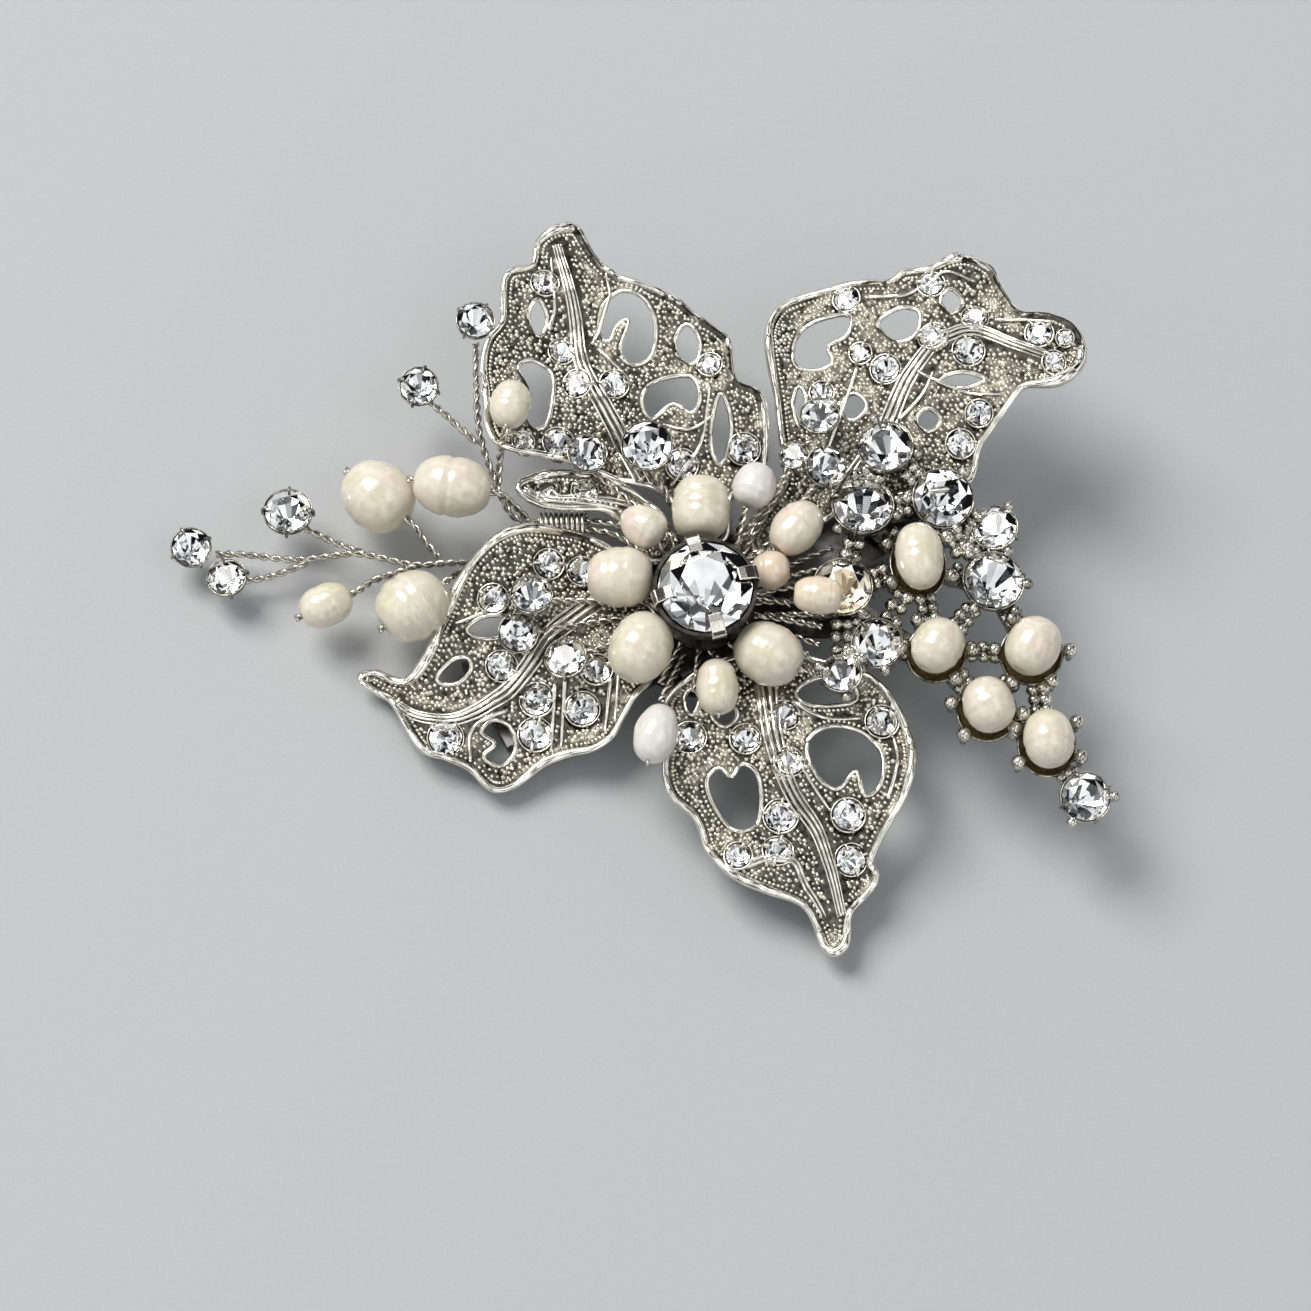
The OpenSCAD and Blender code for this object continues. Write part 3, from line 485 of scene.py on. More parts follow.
# How far the beads keep from a leaf's outline, holes, midrib and veins
BEAD_GAPS = {"edge": 0.95, "hole": 0.75, "rib": 1.05, "vein": 0.42}


def top_faces(node):
    """A leaf's upper faces in the design frame, where its side walls stand upright."""
    work = bmesh.new()
    work.from_mesh(NODES[node].data)
    bmesh.ops.transform(work, matrix=TO_DESIGN, verts=work.verts)
    bmesh.ops.remove_doubles(work, verts=work.verts, dist=0.002)
    work.normal_update()
    drop = [f for f in work.faces if f.normal.z < 0.15]
    bmesh.ops.delete(work, geom=drop, context="FACES")
    return work


def edge_loops(work):
    """The closed loops round a surface and its holes, the outer one first."""
    follow = {}
    for edge in work.edges:
        if len(edge.link_faces) == 1:
            a, b = edge.verts
            follow.setdefault(a, []).append(b)
            follow.setdefault(b, []).append(a)
    loops = []
    unseen = set(follow)
    for start in sorted(follow, key=lambda v: tuple(v.co)):
        if start not in unseen:
            continue
        loop = [start]
        unseen.discard(start)
        while True:
            ahead = [v for v in follow[loop[-1]] if v in unseen]
            if not ahead:
                break
            loop.append(ahead[0])
            unseen.discard(ahead[0])
        if len(loop) > 8:
            loops.append([v.co.xy.copy() for v in loop])
    loops.sort(key=lambda loop: -abs(area(loop)))
    return loops


def area(loop):
    """Signed area inside a closed loop."""
    return 0.5 * sum(a.x * b.y - a.y * b.x for a, b in zip(loop, loop[1:] + loop[:1]))


def even_loop(loop, step, counterclockwise):
    """The loop rounded off and given evenly spaced points."""
    if (area(loop) > 0) != counterclockwise:
        loop = loop[::-1]
    for _ in range(2):
        loop = [p for a, b in zip(loop, loop[1:] + loop[:1])
                for p in (a.lerp(b, 0.25), a.lerp(b, 0.75))]
    lengths = [(b - a).length for a, b in zip(loop, loop[1:] + loop[:1])]
    count = max(10, round(sum(lengths) / step))
    spacing = sum(lengths) / count
    points = []
    walked = 0.0
    for a, b, length in zip(loop, loop[1:] + loop[:1], lengths):
        while len(points) < count and len(points) * spacing <= walked + length:
            points.append(a.lerp(b, (len(points) * spacing - walked) / max(length, 1e-9)))
        walked += length
    return points


def inside_test(points, loops):
    """Which points lie inside the outer loop and outside its holes."""
    xs = points[:, 0]
    ys = points[:, 1]
    inside = np.zeros(len(points), bool)
    for loop in loops:
        for a, b in zip(loop, loop[1:] + loop[:1]):
            crosses = (a.y > ys) != (b.y > ys)
            span = (b.y - a.y) if abs(b.y - a.y) > 1e-12 else 1e-12
            inside ^= crosses & (xs < (b.x - a.x) * (ys - a.y) / span + a.x)
    return inside


def tree_of(points):
    """A tree to seek the nearest of some points with, or None if there are none."""
    if not points:
        return None
    tree = kdtree.KDTree(len(points))
    for i, p in enumerate(points):
        tree.insert((p[0], p[1], 0), i)
    tree.balance()
    return tree


def route_points(route, step):
    """Points in plan along a smooth curve through a route."""
    return [p.xy for p in smooth_route([(x, y, 0) for x, y in route], step)]


def mounds(x, y, spots):
    """The height at x, y of soft mounds. A spot is its middle, its reach and its height."""
    total = 0
    for (cx, cy), reach, height in spots:
        away = math.hypot(x - cx, y - cy) / reach
        total += height * max(0, 1 - away ** 2) ** 2
    return total


class Leaf:
    """A leaf's surface: its loops, its fine mesh and where anything on it sits."""

    def __init__(self, name, stones, midrib, curls, rolls, veins, seed):
        self.name = name
        self.seed = seed
        self.curls = curls
        self.rolls = rolls
        self.veins = [route_points(route, VEIN_STEP) for route in veins]
        self.stones = stone_places(stones)
        work = top_faces(name)
        tree = BVHTree.FromBMesh(work)
        self.loops = [even_loop(loop, MESH_STEP, i == 0) for i, loop in enumerate(edge_loops(work))]
        work.free()
        self.midrib = route_points(midrib, 0.4)
        self.trees = {
            "edge": tree_of(self.loops[0]),
            "hole": tree_of([p for loop in self.loops[1:] for p in loop]),
            "rib": tree_of(self.midrib),
            "vein": tree_of([p for vein in self.veins for p in vein]),
        }
        self.fill()
        heights = []
        for x, y in self.points:
            hit = tree.ray_cast(Vector((x, y, SKY)), DOWN)[0]
            if hit is None:
                hit = tree.find_nearest(Vector((x, y, PLATE_TOP + 1)))[0]
            heights.append(hit.z)
        plain = self.relax(np.array(heights), 40)
        self.heights = self.relax(plain + np.array([self.sculpt(x, y) for x, y in self.points]), 2)
        self.surface = BVHTree.FromPolygons(
            [(x, y, z) for (x, y), z in zip(self.points, self.heights)], self.triangles
        )
        self.heights -= self.pits()

    def gap(self, part, x, y):
        """How far x, y lies from the nearest edge, hole, rib or vein. It is endless if there is none."""
        tree = self.trees[part]
        return tree.find((x, y, 0))[2] if tree else math.inf

    def clear_of_stones(self, x, y, gap):
        return all((Vector((x, y)) - c.xy).length > d / 2 + gap for c, _, d in self.stones)

    def fill(self):
        """Fills the outline with even triangles."""
        low = [min(p[k] for p in self.loops[0]) for k in range(2)]
        high = [max(p[k] for p in self.loops[0]) for k in range(2)]
        seeds = []
        row = 0
        y = low[1]
        while y < high[1]:
            x = low[0] + (row % 2) * MESH_STEP / 2
            while x < high[0]:
                seeds.append((x, y))
                x += MESH_STEP
            y += MESH_STEP * ROW
            row += 1
        seeds = np.array(seeds)
        seeds = seeds[inside_test(seeds, self.loops)]
        least = 0.55 * MESH_STEP
        points = []
        edges = []
        for loop in self.loops:
            start = len(points)
            points.extend(loop)
            edges.extend((start + k, start + (k + 1) % len(loop)) for k in range(len(loop)))
        points.extend(Vector(p) for p in seeds if min(self.gap("edge", *p), self.gap("hole", *p)) >= least)
        result = geometry.delaunay_2d_cdt(points, edges, [], 0, 1e-4)
        self.points = np.array([(p.x, p.y) for p in result[0]])
        triangles = np.array(result[2])
        centres = self.points[triangles].mean(axis=1)
        self.triangles = triangles[inside_test(centres, self.loops)].tolist()
        pairs = {tuple(sorted(pair)) for a, b, c in self.triangles for pair in ((a, b), (b, c), (c, a))}
        self.pairs = np.array(sorted(pairs))

    def relax(self, values, rounds):
        """Evens values out between neighbouring points."""
        count = np.zeros(len(values))
        np.add.at(count, self.pairs[:, 0], 1)
        np.add.at(count, self.pairs[:, 1], 1)
        count = np.maximum(count, 1)
        for _ in range(rounds):
            total = np.zeros(len(values))
            np.add.at(total, self.pairs[:, 0], values[self.pairs[:, 1]])
            np.add.at(total, self.pairs[:, 1], values[self.pairs[:, 0]])
            values = 0.5 * values + 0.5 * total / count
        return values

    def sculpt(self, x, y):
        """How far the finished surface stands over the plain one: folds, lips, rib and curls."""
        rib = self.gap("rib", x, y)
        lift = 0.7 * noise.noise((x * 0.2, y * 0.2, self.seed))
        lift += 0.3 * noise.noise((x * 0.55, y * 0.55, self.seed + 5))
        lift += 0.45 * max(0, 1 - self.gap("edge", x, y) / 1.4) ** 2
        lift += 0.16 * max(0, 1 - self.gap("hole", x, y) / 0.8) ** 2
        lift += 0.45 * math.exp(-(rib / 0.9) ** 2) - 0.25 * math.exp(-((rib - 1.9) / 0.8) ** 2)
        return lift + mounds(x, y, self.curls)

    def pits(self):
        """How deep the surface is sunk at each point, for the stones to sit in."""
        depth = np.zeros(len(self.points))
        for centre, _, d in self.stones:
            away = np.hypot(self.points[:, 0] - centre.x, self.points[:, 1] - centre.y)
            depth = np.maximum(depth, (PIT + 0.25 * d) * (away < d / 2 + 0.12))
        return depth

    def at(self, x, y):
        """The surface point and its normal over x, y, or None off the leaf."""
        hit, normal, _, _ = self.surface.ray_cast(Vector((x, y, SKY)), DOWN)
        if hit is None:
            return None
        return hit, normal if normal.z > 0 else -normal

    def near(self, x, y):
        """The nearest surface point and normal to x, y."""
        found = self.at(x, y)
        if found:
            return found
        hit, normal, _, _ = self.surface.find_nearest(Vector((x, y, PLATE_TOP + 2)))
        return hit, normal if normal.z > 0 else -normal

    def sheet(self):
        """The leaf's sheet: the sculpted face, a plainer back and the walls between."""
        count = len(self.points)
        corners = [(x, y, z) for (x, y), z in zip(self.points, self.heights)]
        corners += [(x, y, z - SHEET_T) for x, y, z in corners]
        up = []
        for a, b, c in self.triangles:
            pa, pb, pc = self.points[[a, b, c]]
            turn = (pb[0] - pa[0]) * (pc[1] - pa[1]) - (pb[1] - pa[1]) * (pc[0] - pa[0])
            up.append([a, b, c] if turn > 0 else [a, c, b])
        uses = dict.fromkeys(pair for face in up for pair in zip(face, face[1:] + face[:1]))
        walls = [[j, i, i + count, j + count] for i, j in uses if (j, i) not in uses]
        shape = Shape()
        shape.add(corners, up)
        # The back and the walls use the same corners as the face
        extra = [[k + count for k in face[::-1]] for face in up] + walls
        shape.faces += extra
        shape.materials += [1] * len(extra)
        shape.smooth += [True] * len(extra)
        # The face takes the near-black sheet metal, which is oxide and painted shade in one.
        shape.piece(self.name + "_sheet", [SHEET, BACK], [self.name])

    def ridge(self, shape, route, radius, thinning, lift, least, gap=None):
        """A tapering ridge along a route, broken off where it comes within gap of a stone."""
        path = []
        for x, y in route:
            found = self.at(x, y)
            if found and (gap is None or self.clear_of_stones(x, y, gap)):
                path.append(found[0] + Vector((0, 0, lift)))
        if len(path) > least:
            tube(shape, path, lambda s: radius * (1 - thinning * s), 7)

    def rims(self):
        """The polished rims round the outline and the holes, the veins and the midrib's ridges."""
        shape = Shape()
        for i, loop in enumerate(self.loops):
            path = [Vector((x, y, self.near(x, y)[0].z - RIM_SINK)) for x, y in loop]
            # The outer rim is thicker where the leaf's margin is rolled over
            radii = [HOLE_RIM_R if i else RIM_R + mounds(x, y, self.rolls) for x, y in loop]
            tube(shape, path, radii, 8, closed=True)
        for vein in self.veins:
            self.ridge(shape, vein, VEIN_R, 0.45, 0.12, 3, 0.1)
        for offset, radius, lift in RIDGES:
            route = []
            for i, p in enumerate(self.midrib):
                along = along_at(self.midrib, i)
                taper = 1 - 0.6 * i / len(self.midrib)
                route.append(p + Vector((-along.y, along.x)) * offset * taper)
            self.ridge(shape, route, radius, 0.5, lift, 4)
        shape.piece(self.name + "_rims", [RIM])

    def granulation(self):
        """Rows of fine beads inside the rims, and beads over the rest of the face."""
        shape = Shape()
        for i, loop in enumerate(self.loops):
            inset = ROW_INSET[1 if i else 0]
            row = even_loop(loop, ROW_BEAD_STEP, i == 0)
            for k, p in enumerate(row):
                along = along_at(row, k, closed=True)
                q = p + Vector((-along.y, along.x)) * inset
                found = self.at(q.x, q.y)
                if found and self.clear_of_stones(q.x, q.y, 0.3):
                    grain(shape, *found, ROW_BEAD_R)
        low = self.points.min(axis=0)
        high = self.points.max(axis=0)
        rows = int((high[1] - low[1]) / (BEAD_STEP * ROW)) + 1
        columns = int((high[0] - low[0]) / BEAD_STEP) + 1
        for j in range(rows):
            for i in range(columns):
                x = low[0] + (i + 0.5 * (j % 2)) * BEAD_STEP + random.uniform(-BEAD_SHIFT, BEAD_SHIFT)
                y = low[1] + j * BEAD_STEP * ROW + random.uniform(-BEAD_SHIFT, BEAD_SHIFT)
                size = random.uniform(*BEAD_R)
                if any(self.gap(part, x, y) < least for part, least in BEAD_GAPS.items()):
                    continue
                found = self.at(x, y)
                if found and self.clear_of_stones(x, y, 0.36):
                    grain(shape, *found, size)
        shape.piece(self.name + "_grain", [GRAIN])

    def set_stones(self, node):
        """The leaf's stones, lowered into bright seats on the sculpted surface."""
        seats = Shape()
        places = []
        for centre, _, d in self.stones:
            hit, normal = self.near(centre.x, centre.y)
            normal = (normal + UPRIGHT).normalized()
            seat = Vector((centre.x, centre.y, hit.z)) + normal * SEAT_LIFT
            places.append((seat, normal, d))
            r = d / 2
            profile = [(r + reach, height) for reach, height in SEAT]
            lathe(seats, seat, normal, profile, 20)
            claws(seats, seat, normal, d, 0.8 + 1.7 * len(places), 0.2)
        self.stones = places
        seats.piece(node + "_seats", [RIM])
        stones_piece(node, places, node)


# Each leaf: node, its stones' node, midrib from root to tip, curls, rolled edges and veins.
# A curl or roll is its middle, its reach and its height.
LEAVES = [
    ("leaf_top_left", "stones_top_left",
     [(1, 9.8), (-2.4, 16), (-4.9, 20.3), (-6.2, 23.6), (-6.7, 27.7), (-7.5, 31.5), (-8.6, 35.2)],
     [((-9, 37), 3.0, 0.8), ((-15, 18), 3.5, 0.9), ((10.5, 21), 3, 0.7)],
     [((-8, 37), 4, 0.25), ((-15.5, 20), 5, 0.15)],
     [[(-5, 25), (-3.2, 29), (-3.6, 32.4)], [(-4.4, 24.6), (-1.8, 22)],
      [(2, 17), (5, 16.4), (8.4, 18.4)], [(3, 10.6), (6, 15), (7, 20.6)],
      [(-9.4, 26.4), (-8.8, 29), (-9.2, 34)]]),
    ("leaf_top_right", "stones_top_right",
     [(20, 9), (24.4, 15.8), (26.8, 21), (29.2, 24.3), (31.6, 25.9), (34.1, 26.3), (37.6, 24.6),
      (41, 23.2)],
     [((32, 34.5), 4, 0.9), ((43.5, 23.5), 3.5, -1.0), ((13, 26), 4, 1.0)],
     [((43, 22), 5, 0.4), ((33, 34), 5, 0.25), ((13.3, 25), 5, 0.15)],
     [[(22, 24), (21.6, 22), (18.4, 13)], [(28, 22), (33, 19.6), (36.4, 19.2)],
      [(26, 17), (28.4, 19.6), (29.6, 22)],
      [(23, 30.6), (27, 30.4), (30.6, 32.6), (34, 31.6)], [(36, 27.4), (39, 27), (42, 26.6)]]),
    ("leaf_left", "stones_left",
     [(-4.1, -1.4), (-8.9, -5.5), (-11.2, -8.6), (-13.5, -11.3), (-16.5, -13.3), (-19, -14.1),
      (-22.2, -13.7), (-24.7, -12.2)],
     [((-20, -7), 3.5, 1.1), ((-14, 3), 5, 1.2), ((-28, -10), 2, 0.8), ((-22, -17.4), 6, 1.1)],
     [((-22, -9), 5, 0.3), ((-18.5, -2), 5, 0.3), ((-12, 4), 6, 0.25), ((-9, -18), 5, 0.2)],
     [[(-7.6, -10), (-8, -16.6)], [(-8.6, -10.4), (-9, -17)], [(-3, -9.6), (-3.6, -15.4)],
      [(-2.2, -9), (-2.6, -14.4)],
      [(-15, -3.4), (-18.6, -4.6)], [(-13.4, -13), (-16.8, -15), (-17, -18.4)]]),
    ("leaf_bottom", "stones_bottom",
     [(12.4, -10.2), (13.2, -16), (14.9, -21.4), (17.5, -25.4), (18.7, -28.5), (19.3, -30.6),
      (20, -33.4)],
     [((11, -28.5), 4.5, 1.2), ((14.8, -29.2), 2.8, 1.1), ((17.4, -32.4), 2.6, 0.8),
      ((26.5, -18), 4, 0.8), ((19.5, -36), 3, 0.7)],
     [((11, -31), 5, 0.2), ((26.5, -17), 6, 0.2), ((19.5, -36.5), 4, 0.2)],
     [[(10.2, -28.8), (13.6, -27.6), (15.4, -28.4), (16.4, -30.4), (18.4, -33.4)],
      [(10.4, -29.2), (13.7, -28), (15.2, -28.8), (16.1, -30.7), (18.1, -33.6)],
      [(15, -17), (17.4, -21.4), (20.4, -25.4)],
      [(11.6, -9.4), (12, -14)], [(24.6, -22), (25.6, -18), (25, -14.4)],
      [(15, -12), (18, -13.8), (22, -13.6)]]),
    ("leaf_small", "stones_small",
     [(2, 7.1), (-4, 8.2), (-9.6, 8.6), (-11.8, 9.6)],
     [((-12, 9.5), 2.5, 0.5)], [((-10, 11.4), 4, 0.15)], []),
]


def build_leaves():
    for i, row in enumerate(LEAVES):
        leaf = Leaf(*row, 3.7 * i + 1)
        leaf.set_stones(row[1])
        leaf.sheet()
        leaf.rims()
        leaf.granulation()


# -------- pearls
# Each pearl: its axis in degrees, how square its ends are, its rings and its lumpiness
PEARLS = {
    "pearl_north": (90, 0.55, 3, 0.03),
    "pearl_bud": (70, 0.85, 1, 0.05),
    "pearl_north_east": (48, 0.85, 1, 0.04),
    "pearl_round": (0, 0.9, 1, 0.03),
    "pearl_peach": (-5, 0.65, 4, 0.03),
    "pearl_south_east": (-30, 0.85, 2, 0.03),
    "pearl_south": (92, 0.7, 4, 0.03),
    "pearl_drop": (75, 0.85, 0, 0.06),
    "pearl_south_west": (65, 0.85, 2, 0.03),
    "pearl_west": (2, 0.8, 2, 0.03),
    "pearl_teardrop": (150, 0.9, 1, 0.06),
    "spray_pearl_1": (-40, 0.85, 4, 0.03),
    "spray_pearl_2": (-10, 0.85, 4, 0.03),
    "spray_pearl_3": (38, 0.85, 4, 0.03),
    "spray_pearl_4": (25, 0.85, 3, 0.05),
    "spray_pearl_5": (80, 0.85, 3, 0.04),
    "cluster_pearl_1": (96, 0.85, 1, 0.03),
    "cluster_pearl_2": (60, 0.9, 2, 0.03),
    "cluster_pearl_3": (60, 0.9, 1, 0.03),
    "cluster_pearl_4": (110, 0.9, 2, 0.03),
    "cluster_pearl_5": (95, 0.9, 1, 0.04),
}
# The pearls that aren't cream, and the teardrop, which has the rose pearls' slot
NACRE = {
    "pearl_bud": (WHITE, "white_pearl"), "pearl_drop": (WHITE, "white_pearl"),
    "pearl_round": (ROSE, "rose_pearl"), "pearl_peach": (ROSE, "rose_pearl"),
    "pearl_teardrop": (CREAM, "rose_pearl"),
}


def pearl_frame(node):
    """A pearl's centre, axis, length and width, from its CAD node."""
    axis = heading(math.radians(PEARLS[node][0]))
    points = np.array(design_points(node))
    centre = (points.max(axis=0) + points.min(axis=0)) / 2
    return Vector(centre), axis, float(np.ptp(points @ np.array(axis))), float(np.ptp(points[:, 2]))


def build_pearl(node, seed):
    """A freshwater pearl: rings round its axis, soft lumps and a dimple at each end."""
    _, square, rings, lumps = PEARLS[node]
    material, slot = NACRE.get(node, (CREAM, "cream_pearl"))
    centre, axis, length, width = pearl_frame(node)
    grooves = [random.uniform(-0.6, 0.6) for _ in range(rings)]
    sides = 40
    around = spokes(axes_about(axis), sides)
    along = 34
    narrow = 0.16 if node == "pearl_teardrop" else 0.04 * math.sin(seed)
    corners = []
    for i in range(along + 1):
        phi = math.pi * i / along - math.pi / 2
        reach = math.cos(phi) ** square if 0 < i < along else 0.0
        height = math.sin(phi)
        for groove in grooves:
            reach *= 1 - 0.032 * math.exp(-((height - groove) / 0.07) ** 2)
            reach *= 1 + 0.016 * math.exp(-((height - groove - 0.14) / 0.09) ** 2)
        reach *= 1 - narrow * height
        dimple = 1 - 0.05 * math.exp(-((1 - abs(height)) / 0.02) ** 2)
        for out in around:
            spot = out * reach + axis * height
            swell = 1 + lumps * noise.noise(spot * 1.3 + Vector((seed, 0, 0)))
            swell += 0.35 * lumps * noise.noise(spot * 4 + Vector((0, seed, 0)))
            spot = out * reach * width * swell + axis * height * length * dimple
            corners.append(centre + spot * FIT / 2)
    shape = Shape()
    shape.add(corners, [face for i in range(along) for face in band(sides * i, sides * (i + 1), sides)])
    made = shape.piece(node + "_nacre", [material], [node])
    work = bmesh.new()
    work.from_mesh(made.data)
    bmesh.ops.remove_doubles(work, verts=work.verts, dist=0.001 * MM)
    bmesh.ops.recalc_face_normals(work, faces=work.faces)
    work.to_mesh(made.data)
    work.free()


def build_pearls():
    """The pearls, and the small loops of wire that stop them."""
    for i, node in enumerate(PEARLS):
        build_pearl(node, i + 1)
    loops = Shape()
    for node in ["spray_pearl_1", "spray_pearl_2", "spray_pearl_3", "spray_pearl_4", "pearl_drop",
                 "pearl_south", "pearl_south_east", "pearl_peach", "pearl_teardrop"]:
        centre, axis, length, _ = pearl_frame(node)
        out = axis if (centre + axis - MIDDLE).xy.length > (centre - MIDDLE).xy.length else -axis
        tip = centre + out * (length / 2 + 0.05)
        loop = [tip + way * 0.3 for way in spokes((out, axes_about(out)[1]), 12)]
        tube(loops, loop, 0.16, closed=True)
    loops.piece("pearl_wire_ends", [WIRE])


# -------- wired crystals
def build_wired(stones, settings, name):
    places = stone_places(stones)
    stones_piece(name + "_stones", places, stones)
    shape = Shape()
    for i, (centre, axis, d) in enumerate(places):
        stone_cup(shape, centre, axis, d, 0.5 + 1.3 * i)
    shape.piece(name + "_cups", [CUP], [settings])


# -------- wire
WIRE_R = 0.19
TWIST = 2.4  # length of one turn of a twisted pair


def twist(shape, route):
    """A pair of wires twisted along a route."""
    line = smooth_route(route, 0.2)
    side = axes_about(line[1] - line[0])[0]
    strands = ([], [])
    walked = 0.0
    for i, point in enumerate(line):
        along = along_at(line, i)
        side = (side - along * side.dot(along)).normalized()
        out = spoke((side, along.cross(side)), 2 * math.pi * walked / TWIST) * (WIRE_R + 0.02)
        strands[0].append(point + out)
        strands[1].append(point - out)
        if i + 1 < len(line):
            walked += (line[i + 1] - point).length
    for strand in strands:
        tube(shape, strand, WIRE_R)


def wire_piece(name, node, routes):
    shape = Shape()
    for route in routes:
        twist(shape, route)
    shape.piece(name, [WIRE], [node])


def through(node, way):
    """A wire's way in at a pearl's outer end and out at the inner one, along or against its axis."""
    centre, axis, length, _ = pearl_frame(node)
    out = axis * way * (length / 2 + 0.5)
    return [centre - out, centre, centre + out]


def round_middle(degrees, reach, height):
    """A place at a height, so far from the large stone's own axis."""
    place = MIDDLE + heading(math.radians(degrees)) * reach
    return Vector((place.x, place.y, height))


def to_post(start, degrees, reach=5.4):
    """A wire from an end point down to the back plate beside the large stone's post."""
    start = Vector(start)
    foot = round_middle(degrees, reach, PLATE_TOP + 1.5)
    return [start, (start + foot) / 2 + Vector((0, 0, 0.25)), foot]


def inner_end(node):
    """The end of a pearl that faces the large stone."""
    centre, axis, length, _ = pearl_frame(node)
    way = 1 if (MIDDLE - centre).dot(axis) > 0 else -1
    return centre + axis * way * (length / 2 + 0.1)


def build_wires():
    """The sprays' stems, the wires round the large stone, and the wire bound round the stems."""
    wire_piece("spray_wire_left_strands", "spray_wire_left", [
        [(-42.8, 3.2, 12.4), (-40, 3, 12.8), (-34.5, 2.4, 13), (-28.5, 3, 13), (-23, 2, 12.6),
         (-19.5, 2.4, 11.9), (-17.5, 2.8, 11), (-15.2, 3.4, 10.5), (-13.2, 5, 10.9), (-11.4, 5.9, 11.9),
         (-8, 5.85, 12.1), (-5, 5.85, 12.1), (-2.5, 5.2, 12.3), (0.2, 3.2, 12.6)],
        [(-39.8, 0.4, 12.2), (-36.8, 0.9, 12.5), (-33.6, 2.1, 12.9)],
        [(-33.8, 5.9, 12.4), (-31, 4.5, 12.4), (-27.8, 3.1, 12.9)],
        through("spray_pearl_1", 1) + [(-22, 4.6, 13.2), (-20.4, 2.9, 12.2)],
        through("spray_pearl_2", 1) + [(-13, 7.7, 15), (-11.6, 6.8, 13)],
        through("spray_pearl_3", 1) + [(-18.4, 1, 12.8), (-16.4, 2.9, 11)],
        through("spray_pearl_4", 1) + [(-26.6, 0.2, 13.2), (-22.6, 1.8, 12.6)],
    ])
    wire_piece("spray_wire_top_strands", "spray_wire_top", [
        [(-16.8, 25.4, 13.6), (-16.7, 22, 14.4), (-16.6, 18, 14.2), (-16.2, 15, 13.8), (-15.2, 12, 13.2),
         (-14, 9, 12.6), (-12.8, 7.2, 12.2), (-11, 6.75, 12.1), (-8, 6.75, 12.1), (-5, 6.75, 12.1),
         (-3, 6.4, 12.5), (-1, 5.6, 12.8)],
        [(-21.6, 19.4, 13.1), (-19.2, 17.2, 13.4), (-16.6, 14.6, 13.7)],
        through("spray_pearl_5", -1) + [(-14.2, 12.8, 15), (-14.4, 10.4, 13.2)],
    ])
    routes = [
        to_post(inner_end("pearl_north"), 92), to_post(inner_end("pearl_bud"), 62),
        to_post(inner_end("pearl_north_east"), 38), to_post(inner_end("pearl_south"), -78),
        to_post((2, -13, 14.4), -112), to_post(inner_end("pearl_teardrop"), 130),
        to_post((-9.6, -2.6, 14.9), 176), to_post((-10.8, -5.6, 13.8), 188, 6),
        to_post((-6.4, -8, 13.4), 205, 7.4), to_post((-4.6, 11.4, 13.6), 112, 7.4),
        to_post((1.2, 11.6, 14.2), 104, 8.8), to_post((17.2, 14.8, 14.8), 55),
        to_post((17.6, 9.6, 15), 44), to_post((14.8, 11.4, 14), 66),
    ]
    # The bundle of wire tails between the pearls
    for k in range(16):
        degrees = 360 * k / 16 + random.uniform(-8, 8)
        end = round_middle(degrees, random.uniform(8, 10), 12.6)
        routes.append(to_post(end, degrees + random.uniform(-20, 20), 4.4))
    # Longer tails over the back plate's arm, towards the cluster
    for k in range(9):
        degrees = 26 - 7.5 * k
        end = round_middle(degrees, random.uniform(11.5, 15), 11.9 + 0.5 * (k % 3))
        routes.append(to_post(end, degrees + random.uniform(-9, 9), 5))
    wire_piece("middle_wire_strands", "middle_wires", routes)

    binding = Shape()
    turns = 9
    pitch = 0.52
    steps = 18
    path = []
    for k in range(turns * steps + 1):
        angle = 2 * math.pi * k / steps
        path.append((-10.2 + pitch * k / steps, 6.3 + 1.2 * math.cos(angle), 12.1 + 1.2 * math.sin(angle)))
    tube(binding, path, 0.21, 7)
    binding.piece("wire_binding_coil", [WIRE], ["wire_binding"])


# -------- cluster
CLUSTER_PEARLS = ["cluster_pearl_%d" % k for k in range(1, 6)]
CUP_SIDES = 32
CUP_DEPTH = 1.1  # from a pearl's underside down to its cup's base
# An oval cup's wall: reach past the pearl, height over the base and material, from outside to inside
CUP_WALL = (
    (-0.9, 0.0, 0), (0.02, 0.25, 0), (0.16, 1.15, 0), (0.02, 1.25, 1), (-0.2, 0.7, 1), (-0.9, 0.4, 1),
)
CUP_CLAWS = (58, 122, 238, 302)  # degrees from the pearl's axis
CLAW_LIFT = 1.35                 # height of the claws' balls over the pearl's underside
# Beads along the frame: least and greatest gap that they bridge, spacing, and radius
BRIDGED = (-0.4, 4.6)
GRANULE_STEP = 1.4
GRANULE_R = (0.56, 0.76)


def up(height):
    return Vector((0, 0, height))


